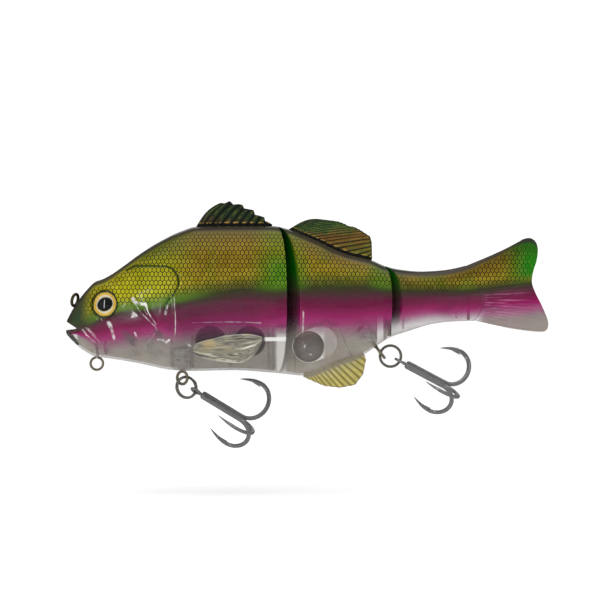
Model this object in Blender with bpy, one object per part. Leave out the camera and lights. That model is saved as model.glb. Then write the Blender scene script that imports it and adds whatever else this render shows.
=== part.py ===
"""Jointed clear swimbait shaped like a sunfish.

Three hollow body sections are hinged on two vertical pins, a tail fin plugs into the last
one, and two treble hooks hang from split rings on swivel eyes under the belly.
X runs from the nose to the tail, Y to the right flank, Z up.  The origin is the centre of
the line tie on the nose.  Every length below is in millimetres and every angle in degrees.
"""
import math

import bmesh
import bpy
from mathutils import Matrix, Vector

MM = 0.001
LEFT = -1
RIGHT = 1
GAP = 0.3
SPLIT = GAP / 2

# Side outline of the body: (x, z) of the back and of the belly, nose to tail.
BACK = [(-3.4, -8.6), (-1.2, -4.3), (2.0, 0.6), (5.5, 4.8), (8.1, 7.2), (11.3, 8.4), (14.5, 10.1),
        (19.8, 13.8), (27.1, 19.1), (35.1, 23.9), (41.9, 27.1), (48.0, 28.9), (58.9, 29.2),
        (78.0, 29.2), (83.7, 28.1), (94.4, 23.9), (107.6, 18.1), (117.1, 15.7), (122.8, 13.3),
        (128.6, 12.0), (136.5, 11.3), (144.4, 11.7), (154.3, 13.6), (162.0, 17.2)]
BELLY = [(-3.4, -12.2), (-1.4, -14.7), (1.5, -18.4), (5.5, -21.1), (8.1, -22.3), (11.3, -22.7),
         (21.9, -24.3), (29.2, -25.8), (37.7, -27.5), (45.7, -28.0), (62.6, -27.7), (81.7, -29.0),
         (90.2, -29.8), (102.0, -25.7), (114.3, -21.3), (120.1, -17.4), (124.8, -14.6),
         (130.7, -12.6), (141.6, -9.4), (149.5, -8.5), (157.5, -8.3), (162.0, -8.9)]
# Half thickness of the body seen from above: (x, y).
FLANK = [(-3.4, 1.6), (-1.0, 4.0), (3.0, 6.0), (8.0, 7.9), (16.0, 10.3), (28.0, 12.9), (45.0, 14.8),
         (60.0, 15.0), (74.0, 14.2), (84.0, 13.0), (96.0, 11.8), (110.0, 10.2), (124.0, 8.6),
         (138.0, 6.3), (150.0, 4.5), (162.0, 3.0)]
SQUARENESS = 2.35
RING_POINTS = 15

SHELL_WALL = 1.8
REAR_WALL = 1.4
OPEN_Y = -1.0

# Joint between front and middle sections, and between middle and rear sections.
HINGE_1 = dict(x=82.6, nose_radius=2.6, nose_angle=52.0, groove_angle=71.0,
               pin_low=-28.4, pin_high=28.2, lugs=(5.2, -7.2), root=9.6)
HINGE_2 = dict(x=124.2, nose_radius=1.9, nose_angle=46.0, groove_angle=68.0,
               pin_low=-14.2, pin_high=12.7, lugs=(4.0, -5.6), root=7.4)
GROOVE_CLEARANCE = 0.5
PIN_RADIUS = 0.8
PIN_SEAT_RADIUS = 1.05
LUG_RADIUS = 2.1
LUG_THICKNESS = 1.8
LUG_HOLE_RADIUS = 1.15
SLOT_DEPTH = 0.8
ARC_STEPS = 5

# Chambers: x range and z range, None where the shell itself closes the chamber.
FRONT_CHAMBERS = [(19.0, 71.4, -7.4, None), (19.0, 37.4, None, -9.2)]
MIDDLE_CHAMBERS = [(88.6, 112.0, -6.4, None)]
REAR_CHAMBERS = [(130.2, 149.4, None, None)]
CHAMBER_STEP = 9.0

BALL_RADIUS = 6.2
POCKET_CLEARANCE = 0.3
BALLAST = [(53.7, -16.2), (69.2, -16.2)]
RATTLE = (92.3, -18.4)
RATTLE_SLOPE = 19.4
RATTLE_TRAVEL = 5.0

EYE_POSITION = (12.1, -1.5)
EYE_RADIUS = 5.0
EYE_SIDES = 18
EYE_SINK = 1.1
IRIS_THICKNESS = 0.5
LENS_HEIGHT = 1.5

# Swivels: barrel centre, eye centre, direction of the barrel in the XZ plane, turn of the eye.
FRONT_SWIVEL = dict(barrel=(42.4, -22.9), eye=(42.4, -30.7), tilt=-90.0, turn=-20.0)
REAR_SWIVEL = dict(barrel=(115.3, -13.8), eye=(120.7, -20.8), tilt=-52.4, turn=90.0)
BARREL_RADIUS = 2.0
BARREL_HEIGHT = 6.0
BARREL_BORE = 0.85
STEM_RADIUS = 0.6
HEAD_RADIUS = 1.4
HEAD_HEIGHT = 0.7
EYE_WIRE = 0.6
EYE_HALF_LENGTH = 2.5
EYE_HALF_WIDTH = 2.15

RING_RADIUS = 4.15
RING_HALF_WALL = 0.55
RING_HALF_WIDTH = 0.7
RING_SEGMENTS = 22

HOOK_WIRE = 0.88
HOOK_EYE_WIRE = 0.55
HOOK_EYE_RADIUS = 1.75
HOOK_NECK_WIRE = 0.72
HOOK_NECK = 3.6
HOOK_BUNDLE = 0.98
HOOK_SHANK = 16.2
HOOK_BEND_LENGTH = 6.4
HOOK_BEND_RADIUS = 7.3
HOOK_POINT_ALONG = 8.5
HOOK_POINT_OUT = 12.9
TUBE_SIDES = 6

MATERIALS = {
    "clear_plastic": ((0.62, 0.55, 0.42), 0.0, 0.08),
    "tinted_fin": ((0.25, 0.38, 0.08), 0.0, 0.25),
    "yellow_fin": ((0.75, 0.68, 0.08), 0.0, 0.25),
    "gold_foil": ((0.80, 0.62, 0.25), 0.9, 0.25),
    "eye_lens": ((0.85, 0.85, 0.80), 0.0, 0.03),
    "stainless_wire": ((0.60, 0.58, 0.55), 1.0, 0.25),
    "black_nickel": ((0.20, 0.20, 0.21), 1.0, 0.25),
    "steel_ball": ((0.70, 0.70, 0.70), 1.0, 0.15),
}


def clear_scene():
    """Remove whatever the scene holds before building."""
    for obj in list(bpy.data.objects):
        bpy.data.objects.remove(obj, do_unlink=True)


def material(kind):
    """Principled material of the given kind, made once."""
    found = bpy.data.materials.get(kind)
    if found:
        return found
    colour, metallic, roughness = MATERIALS[kind]
    made = bpy.data.materials.new(kind)
    made.use_nodes = True
    shader = made.node_tree.nodes["Principled BSDF"]
    shader.inputs["Base Color"].default_value = (*colour, 1.0)
    shader.inputs["Metallic"].default_value = metallic
    shader.inputs["Roughness"].default_value = roughness
    return made


def smooth_value(points, x):
    """Value at x of a smooth line through the points, flat beyond both ends."""
    if x <= points[0][0]:
        return points[0][1]
    if x >= points[-1][0]:
        return points[-1][1]
    index = max(i for i in range(len(points) - 1) if points[i][0] <= x)

    def slope(i):
        if i == 0 or i == len(points) - 1:
            j = min(max(i, 1), len(points) - 1)
            return (points[j][1] - points[j - 1][1]) / (points[j][0] - points[j - 1][0])
        before = (points[i][1] - points[i - 1][1]) / (points[i][0] - points[i - 1][0])
        after = (points[i + 1][1] - points[i][1]) / (points[i + 1][0] - points[i][0])
        if before * after <= 0:
            return 0.0
        return 2 * before * after / (before + after)

    x0, y0 = points[index]
    x1, y1 = points[index + 1]
    span = x1 - x0
    t = (x - x0) / span
    a = (1 + 2 * t) * (1 - t) ** 2
    b = t * (1 - t) ** 2
    c = t * t * (3 - 2 * t)
    d = t * t * (t - 1)
    return a * y0 + b * span * slope(index) + c * y1 + d * span * slope(index + 1)


def body_section(x, inset=0.0):
    """Centre height, half height and half thickness of the body at x, drawn in by inset."""
    top = smooth_value(BACK, x)
    bottom = smooth_value(BELLY, x)
    half_height = max((top - bottom) / 2 - inset, 0.3)
    half_width = max(smooth_value(FLANK, x) - inset, 0.3)
    return (top + bottom) / 2, half_height, half_width


def flank_y(x, z, inset=0.0):
    """Distance of the flank from the middle plane at (x, z)."""
    centre, half_height, half_width = body_section(x, inset)
    ratio = min(abs(z - centre) / half_height, 1.0)
    return half_width * (1 - ratio ** SQUARENESS) ** (1 / SQUARENESS)


def flank_normal(x, z, side):
    """Outward direction of the flank at (x, z)."""
    step = 0.5
    along = (flank_y(x + step, z) - flank_y(x - step, z)) / (2 * step)
    up = (flank_y(x, z + step) - flank_y(x, z - step)) / (2 * step)
    return Vector((-along, side, -up)).normalized()


def make_object(name, verts, faces, kind):
    """Mesh object from millimetre vertices, with its faces turned outward."""
    mesh = bpy.data.meshes.new(name)
    mesh.from_pydata([tuple(c * MM for c in v) for v in verts], [], faces)
    obj = bpy.data.objects.new(name, mesh)
    bpy.context.collection.objects.link(obj)
    mesh.materials.append(material(kind))
    tidy_mesh(mesh)
    return obj


def tidy_mesh(mesh):
    """Weld, drop flat slivers and turn every face outward."""
    work = bmesh.new()
    work.from_mesh(mesh)
    bmesh.ops.remove_doubles(work, verts=work.verts, dist=0.004 * MM)
    bmesh.ops.dissolve_degenerate(work, edges=work.edges, dist=0.002 * MM)
    bmesh.ops.recalc_face_normals(work, faces=work.faces)
    work.to_mesh(mesh)
    work.free()
    mesh.update()


def combine(target, tool, operation):
    """Apply one Boolean step to the target and remove the tool."""
    step = target.modifiers.new(operation.lower(), "BOOLEAN")
    step.operation = operation
    step.solver = "EXACT"
    step.object = tool
    bpy.context.view_layer.update()
    graph = bpy.context.evaluated_depsgraph_get()
    result = bpy.data.meshes.new_from_object(target.evaluated_get(graph))
    target.modifiers.remove(step)
    old = target.data
    target.data = result
    bpy.data.meshes.remove(old)
    tidy_mesh(target.data)
    bpy.data.objects.remove(tool, do_unlink=True)
    return target


def loft(name, rings, kind):
    """Closed body through a row of rings that have equal point counts."""
    count = len(rings[0])
    verts = [point for ring in rings for point in ring]
    faces = []
    for row in range(len(rings) - 1):
        for i in range(count):
            a = row * count + i
            b = row * count + (i + 1) % count
            faces.append((a, b, b + count, a + count))
    faces.append(tuple(range(count)))
    last = (len(rings) - 1) * count
    faces.append(tuple(last + i for i in range(count)))
    return make_object(name, verts, faces, kind)


def spread(low, high, step):
    """Evenly spaced values from low to high, no further apart than step."""
    count = max(int(math.ceil((high - low) / step)), 1)
    return [low + (high - low) * i / count for i in range(count + 1)]


def half_body(name, x_values, side):
    """Solid half of the body on one side of the middle plane."""
    rings = []
    for x in x_values:
        centre, half_height, half_width = body_section(x)
        ring = []
        for i in range(RING_POINTS):
            angle = math.pi * (0.5 - i / (RING_POINTS - 1))
            rise = math.copysign(abs(math.sin(angle)) ** (2 / SQUARENESS), math.sin(angle))
            out = abs(math.cos(angle)) ** (2 / SQUARENESS)
            if i in (0, RING_POINTS - 1):
                out = 0.0
            y = SPLIT + max(half_width - SPLIT, 0.4) * out
            ring.append((x, side * y, centre + half_height * rise))
        rings.append(ring)
    return loft(name, rings, "clear_plastic")


def chamber(spec, wall, side):
    """Cutter for one hollow chamber, open toward the middle plane."""
    x_low, x_high, z_low, z_high = spec
    rings = []
    for x in spread(x_low, x_high, CHAMBER_STEP):
        centre, half_height, _ = body_section(x, wall)
        reach = 0.97 * half_height
        low = centre - reach if z_low is None else max(z_low, centre - reach)
        high = centre + reach if z_high is None else min(z_high, centre + reach)
        ring = [(x, side * OPEN_Y, high)]
        for i in range(8):
            blend = 0.5 - 0.5 * math.cos(math.pi * i / 7)
            z = high + (low - high) * blend
            ring.append((x, side * max(flank_y(x, z, wall), 1.2), z))
        ring.append((x, side * OPEN_Y, low))
        rings.append(ring)
    return loft("chamber", rings, "clear_plastic")


def prism(outline, axis, low, high, kind="clear_plastic", name="prism"):
    """Outline pushed along Y or Z between low and high."""
    rings = []
    for level in (low, high):
        if axis == "Y":
            rings.append([(a, level, b) for a, b in outline])
        else:
            rings.append([(a, b, level) for a, b in outline])
    return loft(name, rings, kind)


def box(x, y, z, name="box", kind="clear_plastic"):
    """Block between the given pairs of limits."""
    outline = [(x[0], y[0]), (x[1], y[0]), (x[1], y[1]), (x[0], y[1])]
    return prism(outline, "Z", z[0], z[1], kind, name)


def hinge_face(hinge, radius, angle, side):
    """Plan line of a hinge face: an arc round the pin, then a straight flank going out."""
    end = math.radians(angle + 90)
    line = [(hinge["x"] - radius, -side)]
    for i in range(ARC_STEPS + 1):
        turn = math.pi + (end - math.pi) * i / ARC_STEPS
        line.append((hinge["x"] + radius * math.cos(turn), side * radius * math.sin(turn)))
    reach = 24.0
    x, y = line[-1]
    way = math.radians(angle)
    line.append((x + reach * math.cos(way), y + side * reach * math.sin(way)))
    return line


def cut_groove(shell, hinge, side):
    """Hollow the rear of a section so that the next section's nose can turn in it."""
    radius = hinge["nose_radius"] + GROOVE_CLEARANCE
    line = hinge_face(hinge, radius, hinge["groove_angle"], side)
    far = hinge["x"] + 60
    outline = line + [(far, line[-1][1]), (far, -side)]
    combine(shell, prism(outline, "Z", -60, 60), "DIFFERENCE")
    for height in hinge["lugs"]:
        limit = LUG_THICKNESS / 2 + GAP
        width = LUG_RADIUS + GAP
        limits = (hinge["x"] - hinge["root"] - GAP, hinge["x"])
        pocket = box(limits, (-width, width), (height - limit, height + limit))
        combine(shell, pocket, "DIFFERENCE")


def cut_nose(shell, hinge, side):
    """Shape the wedge nose of a section, its pin seat and the slots for the lugs."""
    line = hinge_face(hinge, hinge["nose_radius"], hinge["nose_angle"], side)
    near = hinge["x"] - 30
    outline = line + [(near, line[-1][1]), (near, -side)]
    combine(shell, prism(outline, "Z", -60, 60), "DIFFERENCE")
    seat = cylinder((hinge["x"], 0, -45), (0, 0, 1), PIN_SEAT_RADIUS, 90, 12)
    combine(shell, seat, "DIFFERENCE")
    for height in hinge["lugs"]:
        limit = LUG_THICKNESS / 2 + 2 * GAP
        depth = hinge["x"] + LUG_RADIUS + SLOT_DEPTH
        slot = box((hinge["x"] - 8, depth), (-16, 16), (height - limit, height + limit))
        combine(shell, slot, "DIFFERENCE")


def frame_along(direction):
    """Rotation that carries Z onto the given direction."""
    return Vector((0, 0, 1)).rotation_difference(Vector(direction)).to_matrix()


def revolve(name, profile, centre, direction, sides, kind):
    """Solid of revolution of (radius, height) pairs about the direction, closed at its ends."""
    turn = frame_along(direction)
    rings = []
    for radius, height in profile:
        ring = []
        for i in range(sides):
            angle = 2 * math.pi * i / sides
            local = Vector((radius * math.cos(angle), radius * math.sin(angle), height))
            ring.append(tuple(turn @ local + Vector(centre)))
        rings.append(ring)
    return loft(name, rings, kind)


def cylinder(start, direction, radius, length, sides, name="cylinder", kind="clear_plastic"):
    """Cylinder from a start point along the direction."""
    return revolve(name, [(radius, 0), (radius, length)], start, direction, sides, kind)


def sphere(name, centre, radius, kind, sides=14, rows=8, stretch=None):
    """Faceted ball, drawn out along the stretch vector when one is given."""
    direction = Vector(stretch).normalized() if stretch else Vector((0, 0, 1))
    length = Vector(stretch).length if stretch else 0.0
    profile = []
    for i in range(rows):
        angle = math.pi * (-0.5 + (i + 0.35) / (rows - 0.3))
        shift = length if i >= rows / 2 else 0.0
        profile.append((radius * math.cos(angle), radius * math.sin(angle) + shift))
    return revolve(name, profile, centre, direction, sides, kind)


def tube(name, points, radii, kind, sides=TUBE_SIDES, closed=False, flat=None):
    """Wire through the points, flattened when flat gives (normal, across, along) sizes."""
    points = [Vector(p) for p in points]
    count = len(points)
    if not hasattr(radii, "__len__"):
        radii = [radii] * count
    rings = []
    reference = None
    for i, point in enumerate(points):
        before = points[i - 1] if i or closed else points[i]
        after = points[(i + 1) % count] if i < count - 1 or closed else points[i]
        tangent = (after - before).normalized()
        if flat:
            up = Vector(flat[0]).normalized()
            across = tangent.cross(up).normalized()
            sizes = (flat[1], flat[2])
        else:
            if reference is None:
                helper = Vector((0, 1, 0)) if abs(tangent.y) < 0.9 else Vector((1, 0, 0))
                reference = tangent.cross(helper)
            up = (reference - tangent * reference.dot(tangent)).normalized()
            reference = up
            across = tangent.cross(up).normalized()
            sizes = (radii[i], radii[i])
        ring = []
        for k in range(sides):
            angle = 2 * math.pi * (k + 0.5) / sides
            offset = across * (sizes[0] * math.cos(angle)) + up * (sizes[1] * math.sin(angle))
            ring.append(tuple(point + offset))
        rings.append(ring)
    if not closed:
        return loft(name, rings, kind)
    verts = [v for ring in rings for v in ring]
    faces = []
    for row in range(count):
        following = (row + 1) % count
        for k in range(sides):
            a = row * sides + k
            b = row * sides + (k + 1) % sides
            faces.append((a, b, b - row * sides + following * sides, a - row * sides + following * sides))
    return make_object(name, verts, faces, kind)


def fan_fin(name, root, tip, root_half, edge_half, kind, columns=10, rows=5, lens=4):
    """Fin whose rays run from the root line to the tip line, thick at the root."""
    def along(line, t):
        lengths = [0.0]
        for a, b in zip(line, line[1:]):
            lengths.append(lengths[-1] + math.dist(a, b))
        goal = t * lengths[-1]
        for i in range(len(line) - 1):
            if goal <= lengths[i + 1] or i == len(line) - 2:
                part = (goal - lengths[i]) / (lengths[i + 1] - lengths[i])
                return [p + (q - p) * part for p, q in zip(line[i], line[i + 1])]

    sheets = {}
    verts = []
    for side in (LEFT, RIGHT):
        for u in range(rows + 1):
            for v in range(columns + 1):
                inner = along(root, v / columns)
                outer = along(tip, v / columns)
                reach = u / rows
                x = inner[0] + (outer[0] - inner[0]) * reach
                z = inner[1] + (outer[1] - inner[1]) * reach
                thick = root_half(inner[0], inner[1]) if callable(root_half) else root_half
                swell = 1 - abs(2 * v / columns - 1) ** lens
                half = edge_half + max(thick - edge_half, 0) * (1 - reach) ** 1.3 * swell
                sheets[side, u, v] = len(verts)
                verts.append((x, side * half, z))
    faces = []
    for side in (LEFT, RIGHT):
        for u in range(rows):
            for v in range(columns):
                faces.append((sheets[side, u, v], sheets[side, u + 1, v],
                              sheets[side, u + 1, v + 1], sheets[side, u, v + 1]))
    rim = [(0, v) for v in range(columns)] + [(u, columns) for u in range(rows)]
    rim += [(rows, v) for v in range(columns, 0, -1)] + [(u, 0) for u in range(rows, 0, -1)]
    for here, there in zip(rim, rim[1:] + rim[:1]):
        faces.append((sheets[(LEFT, *here)], sheets[(LEFT, *there)],
                      sheets[(RIGHT, *there)], sheets[(RIGHT, *here)]))
    return make_object(name, verts, faces, kind)


# Fins: where each leaves the body, how deep its root sits in the slot, and its tip line.
FIN_ROOT_DEPTH = 2.6
FIN_END_GAP = 0.9
FIN_HALF_ROOT = 0.55
FIN_HALF_EDGE = 0.3
FRONT_DORSAL = dict(root=(48.6, 78.0), tip=[(48.4, 29.6), (51.7, 33.9), (54.2, 36.7), (57.5, 38.6),
                    (61.3, 39.2), (63.0, 37.8), (66.1, 37.8), (67.3, 35.9), (70.3, 35.6),
                    (71.4, 33.6), (74.7, 32.9), (75.4, 31.1), (78.2, 30.0)])
REAR_DORSAL = dict(root=(85.8, 117.2), tip=[(85.6, 28.6), (86.4, 29.7), (90.1, 30.8), (94.4, 30.8),
                   (101.7, 31.5), (106.5, 30.3), (107.5, 29.3), (110.5, 28.9), (112.8, 27.7),
                   (116.6, 25.2), (117.3, 20.5), (117.4, 16.6)])
ANAL = dict(root=(90.4, 113.6), tip=[(90.2, -30.4), (94.2, -32.2), (98.4, -34.1), (104.8, -34.8),
            (110.6, -33.8), (113.8, -29.5), (115.1, -23.7), (114.4, -21.7)])
SEAM = [(154.4, 13.5), (156.8, 12.2), (159.6, 7.5), (160.8, 2.2), (160.7, -3.2), (159.2, -6.3),
        (157.6, -8.1)]
TAIL_TIP = [(175.6, 24.0), (179.2, 24.4), (181.8, 23.1), (182.9, 20.2), (182.3, 15.4), (180.7, 9.6),
            (180.5, 7.0), (181.8, 2.8), (184.5, -2.0), (186.6, -6.7), (187.2, -10.0),
            (185.5, -12.6), (181.3, -12.3)]
TAIL_EDGE_HALF = 0.5
TENON = dict(x=(151.6, 160.2), y=0.9, z=(-4.6, 8.6))
TAIL_PIN = dict(x=155.4, radius=0.6, low=-7.9, high=13.3)


def ridge_line(outline, x_range, offset, steps=8):
    """Points along the back or belly, moved up by the offset."""
    return [(x, smooth_value(outline, x) + offset)
            for x in spread(*x_range, (x_range[1] - x_range[0]) / steps)]


def ridge_slot(outline, x_range, direction):
    """Cutter for the slot that takes a fin root."""
    wide = (x_range[0] - FIN_END_GAP, x_range[1] + FIN_END_GAP)
    deep = ridge_line(outline, wide, -direction * (FIN_ROOT_DEPTH + GAP))
    open_end = ridge_line(outline, wide, direction * 6)
    width = FIN_HALF_ROOT + GAP
    return prism(deep + open_end[::-1], "Y", -width, width)


def ridge_fin(name, spec, outline, direction, kind):
    """Fin seated in its slot on the back or belly."""
    root = ridge_line(outline, spec["root"], -direction * FIN_ROOT_DEPTH)
    return fan_fin(name, root, spec["tip"], FIN_HALF_ROOT, FIN_HALF_EDGE, kind, columns=12, rows=3, lens=40)


def swivel_pocket(swivel):
    """Cutter for the barrel, for the head above it and for the stem below it."""
    way = axis_of(swivel)
    centre = Vector((swivel["barrel"][0], 0, swivel["barrel"][1]))
    top = BARREL_HEIGHT / 2 + HEAD_HEIGHT + 0.9
    profile = [(STEM_RADIUS + 0.4, 14.0), (STEM_RADIUS + 0.4, BARREL_HEIGHT / 2 + GAP),
               (BARREL_RADIUS + GAP, BARREL_HEIGHT / 2 + GAP), (BARREL_RADIUS + GAP, -top)]
    return revolve("pocket", profile, centre, way, 14, "clear_plastic")


def axis_of(swivel):
    """Direction from the barrel out toward the eye."""
    angle = math.radians(swivel["tilt"])
    return Vector((math.cos(angle), 0, math.sin(angle)))


def body_sections():
    """Shell halves of the three sections, hollowed, hinged and slotted."""
    front_x = [-3.4, -2.4, -0.6, 2.0, 5.5, 9.0, 13.0, 19.0, 26.0, 34.0, 41.0, 48.0, 58.0, 70.0,
               78.0, 84.0, 90.0]
    middle_x = [79.0, 84.0, 90.2, 97.0, 104.0, 111.0, 117.0, 122.0, 126.0, 131.0]
    rear_x = [121.0, 125.0, 130.0, 136.0, 143.0, 150.0, 156.0, 162.0]
    for side, word in ((LEFT, "left"), (RIGHT, "right")):
        front = half_body("front_shell_" + word, front_x, side)
        for spec in FRONT_CHAMBERS:
            combine(front, chamber(spec, SHELL_WALL, side), "DIFFERENCE")
        cut_groove(front, HINGE_1, side)
        combine(front, ridge_slot(BACK, FRONT_DORSAL["root"], 1), "DIFFERENCE")
        combine(front, swivel_pocket(FRONT_SWIVEL), "DIFFERENCE")
        for x, z in BALLAST:
            pocket = sphere("pocket", (x, 0, z), BALL_RADIUS + POCKET_CLEARANCE, "clear_plastic")
            combine(front, pocket, "DIFFERENCE")
        combine(front, eye_socket(side), "DIFFERENCE")
        combine(front, mouth_cut(), "DIFFERENCE")
        for cutter in tie_holes():
            combine(front, cutter, "DIFFERENCE")

        middle = half_body("middle_shell_" + word, middle_x, side)
        for spec in MIDDLE_CHAMBERS:
            combine(middle, chamber(spec, SHELL_WALL, side), "DIFFERENCE")
        cut_nose(middle, HINGE_1, side)
        cut_groove(middle, HINGE_2, side)
        combine(middle, ridge_slot(BACK, REAR_DORSAL["root"], 1), "DIFFERENCE")
        combine(middle, ridge_slot(BELLY, ANAL["root"], -1), "DIFFERENCE")
        combine(middle, swivel_pocket(REAR_SWIVEL), "DIFFERENCE")
        slope = math.radians(RATTLE_SLOPE)
        path = (RATTLE_TRAVEL * math.cos(slope), 0, RATTLE_TRAVEL * math.sin(slope))
        start = (RATTLE[0], 0, RATTLE[1])
        tunnel = sphere("tunnel", start, BALL_RADIUS + POCKET_CLEARANCE, "clear_plastic",
                        stretch=path)
        combine(middle, tunnel, "DIFFERENCE")

        rear = half_body("rear_shell_" + word, rear_x, side)
        for spec in REAR_CHAMBERS:
            combine(rear, chamber(spec, REAR_WALL, side), "DIFFERENCE")
        cut_nose(rear, HINGE_2, side)
        edge = [(x - SPLIT, z) for x, z in SEAM]
        edge = [(edge[0][0] - 3.0, 19.0)] + edge + [(edge[-1][0] - 3.0, -14.0)]
        outline = edge + [(170.0, -14.0), (170.0, 19.0)]
        combine(rear, prism(outline, "Y", -8, 8), "DIFFERENCE")
        socket = box((TENON["x"][0] - GAP, 166), (-TENON["y"] - GAP, TENON["y"] + GAP),
                     (TENON["z"][0] - GAP, TENON["z"][1] + GAP))
        combine(rear, socket, "DIFFERENCE")
        seat = cylinder((TAIL_PIN["x"], 0, -20), (0, 0, 1), TAIL_PIN["radius"] + 0.2, 40, 10)
        combine(rear, seat, "DIFFERENCE")


def eye_frame(side, lift):
    """Point on the head at the eye and the outward direction there."""
    x, z = EYE_POSITION
    out = flank_normal(x, z, side)
    surface = Vector((x, side * flank_y(x, z), z))
    return surface + out * lift, out


def eye_socket(side):
    """Cutter for the round seat that takes the eye."""
    base, out = eye_frame(side, -EYE_SINK - IRIS_THICKNESS - GAP)
    return cylinder(base, out, EYE_RADIUS + GAP, 8, EYE_SIDES)


def eyes():
    """Foil iris discs and clear domes on both sides of the head."""
    for side, word in ((LEFT, "left"), (RIGHT, "right")):
        base, out = eye_frame(side, -EYE_SINK - IRIS_THICKNESS)
        cylinder(base, out, EYE_RADIUS, IRIS_THICKNESS, EYE_SIDES, word + "_eye_iris", "gold_foil")
        base, out = eye_frame(side, -EYE_SINK + GAP / 2)
        height = LENS_HEIGHT
        profile = [(EYE_RADIUS, 0), (EYE_RADIUS, 0.5), (EYE_RADIUS * 0.86, 0.5 + height * 0.4),
                   (EYE_RADIUS * 0.6, 0.5 + height * 0.75), (EYE_RADIUS * 0.25, 0.5 + height)]
        revolve(word + "_eye_lens", profile, base, out, EYE_SIDES, "eye_lens")


def mouth_cut():
    """Cutter for the slightly open mouth."""
    outline = [(-9.0, -12.4), (-9.0, -8.2), (-2.2, -9.5), (2.0, -11.0), (0.6, -12.8), (-2.6, -11.4)]
    return prism(outline, "Y", -12, 12)


TIE_WIRE = 0.5
TIE_SHANK = 0.42
TIE_RADIUS = 2.45
NOSE_TIE_LEAN = 77.0
NOSE_TIE_ROOT = 6.5
CHIN_TIE = (8.65, -25.1)
CHIN_TIE_ROOT = 6.5


def nose_tie_way():
    """Direction from the root of the nose line tie up to its loop."""
    lean = math.radians(NOSE_TIE_LEAN)
    return Vector((math.cos(lean), 0, math.sin(lean)))


def tie_holes():
    """Cutters for the wire shanks of both line ties."""
    way = nose_tie_way()
    root = Vector((0.0, 0, 0.0)) - way * TIE_RADIUS
    bend = root + Vector((4.6, 0, -3.4))
    chin = Vector((CHIN_TIE[0], 0, CHIN_TIE[1]))
    nose = cylinder(root, bend - root, TIE_WIRE + 0.35, 7.4, 10)
    chin_hole = cylinder(chin, (0, 0, 1), TIE_WIRE + 0.35, TIE_RADIUS + CHIN_TIE_ROOT + 0.4, 10)
    return [nose, chin_hole]


def wire_loop(centre, toward, across, radius, count=16):
    """Points of a round loop in the plane of two directions."""
    points = []
    for i in range(count):
        angle = 2 * math.pi * i / count
        offset = Vector(toward) * math.cos(angle) + Vector(across) * math.sin(angle)
        points.append(Vector(centre) + offset * radius)
    return points


def line_ties():
    """Wire eyes on the nose and under the chin."""
    way = nose_tie_way()
    loop = tube("nose_line_tie", wire_loop((0, 0, 0), way, (0, 1, 0), TIE_RADIUS), TIE_WIRE,
                "stainless_wire", closed=True)
    root = -way * TIE_RADIUS
    inward = Vector((4.6, 0, -3.4)).normalized()
    shank = cylinder(root - inward * 0.05, inward, TIE_SHANK, NOSE_TIE_ROOT, TUBE_SIDES)
    combine(loop, shank, "UNION")
    chin = Vector((CHIN_TIE[0], 0, CHIN_TIE[1]))
    loop = tube("chin_line_tie", wire_loop(chin, (0, 0, 1), (1, 0, 0), TIE_RADIUS), TIE_WIRE,
                "stainless_wire", closed=True)
    shank = cylinder(chin + Vector((0, 0, TIE_RADIUS - 0.05)), (0, 0, 1), TIE_SHANK, CHIN_TIE_ROOT,
                     TUBE_SIDES)
    combine(loop, shank, "UNION")


def hinge_parts(hinge, pin_name, lug_name):
    """Pin and the two lugs of one body joint."""
    length = hinge["pin_high"] - hinge["pin_low"]
    cylinder((hinge["x"], 0, hinge["pin_low"]), (0, 0, 1), PIN_RADIUS, length, 12, pin_name,
             "stainless_wire")
    for height, word in zip(hinge["lugs"], ("upper", "lower")):
        outline = [(hinge["x"] - hinge["root"], LUG_RADIUS), (hinge["x"] - hinge["root"], -LUG_RADIUS)]
        for i in range(9):
            angle = math.radians(-90 + 180 * i / 8)
            outline.append((hinge["x"] + LUG_RADIUS * math.cos(angle), LUG_RADIUS * math.sin(angle)))
        low = height - LUG_THICKNESS / 2
        lug = prism(outline, "Z", low, low + LUG_THICKNESS, "clear_plastic", lug_name + word)
        hole = cylinder((hinge["x"], 0, low - 1), (0, 0, 1), LUG_HOLE_RADIUS, LUG_THICKNESS + 2, 12)
        combine(lug, hole, "DIFFERENCE")


def swivel_parts(swivel, word):
    """Barrel held in the belly and the eye whose stem turns in it."""
    way = axis_of(swivel)
    centre = Vector((swivel["barrel"][0], 0, swivel["barrel"][1]))
    start = centre - way * BARREL_HEIGHT / 2
    barrel = cylinder(start, way, BARREL_RADIUS, BARREL_HEIGHT, 16, word + "_swivel_barrel",
                      "stainless_wire")
    bore = cylinder(start - way, way, BARREL_BORE, BARREL_HEIGHT + 2, 12)
    combine(barrel, bore, "DIFFERENCE")
    eye_centre = Vector((swivel["eye"][0], 0, swivel["eye"][1]))
    turn = math.radians(swivel["turn"])
    side_way = way.cross(Vector((0, 1, 0)))
    across = side_way * math.cos(turn) + Vector((0, 1, 0)) * math.sin(turn)
    points = wire_loop(eye_centre, way * (EYE_HALF_LENGTH / EYE_HALF_WIDTH), across, EYE_HALF_WIDTH,
                       14)
    eye = tube(word + "_swivel_eye", points, EYE_WIRE, "stainless_wire", closed=True)
    head = start - way * (GAP + HEAD_HEIGHT)
    stem_length = (eye_centre - head).dot(way) - EYE_HALF_LENGTH + 0.1
    profile = [(HEAD_RADIUS, 0), (HEAD_RADIUS, HEAD_HEIGHT), (STEM_RADIUS, HEAD_HEIGHT),
               (STEM_RADIUS, stem_length)]
    combine(eye, revolve("stem", profile, head, way, 12, "stainless_wire"), "UNION")


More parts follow.
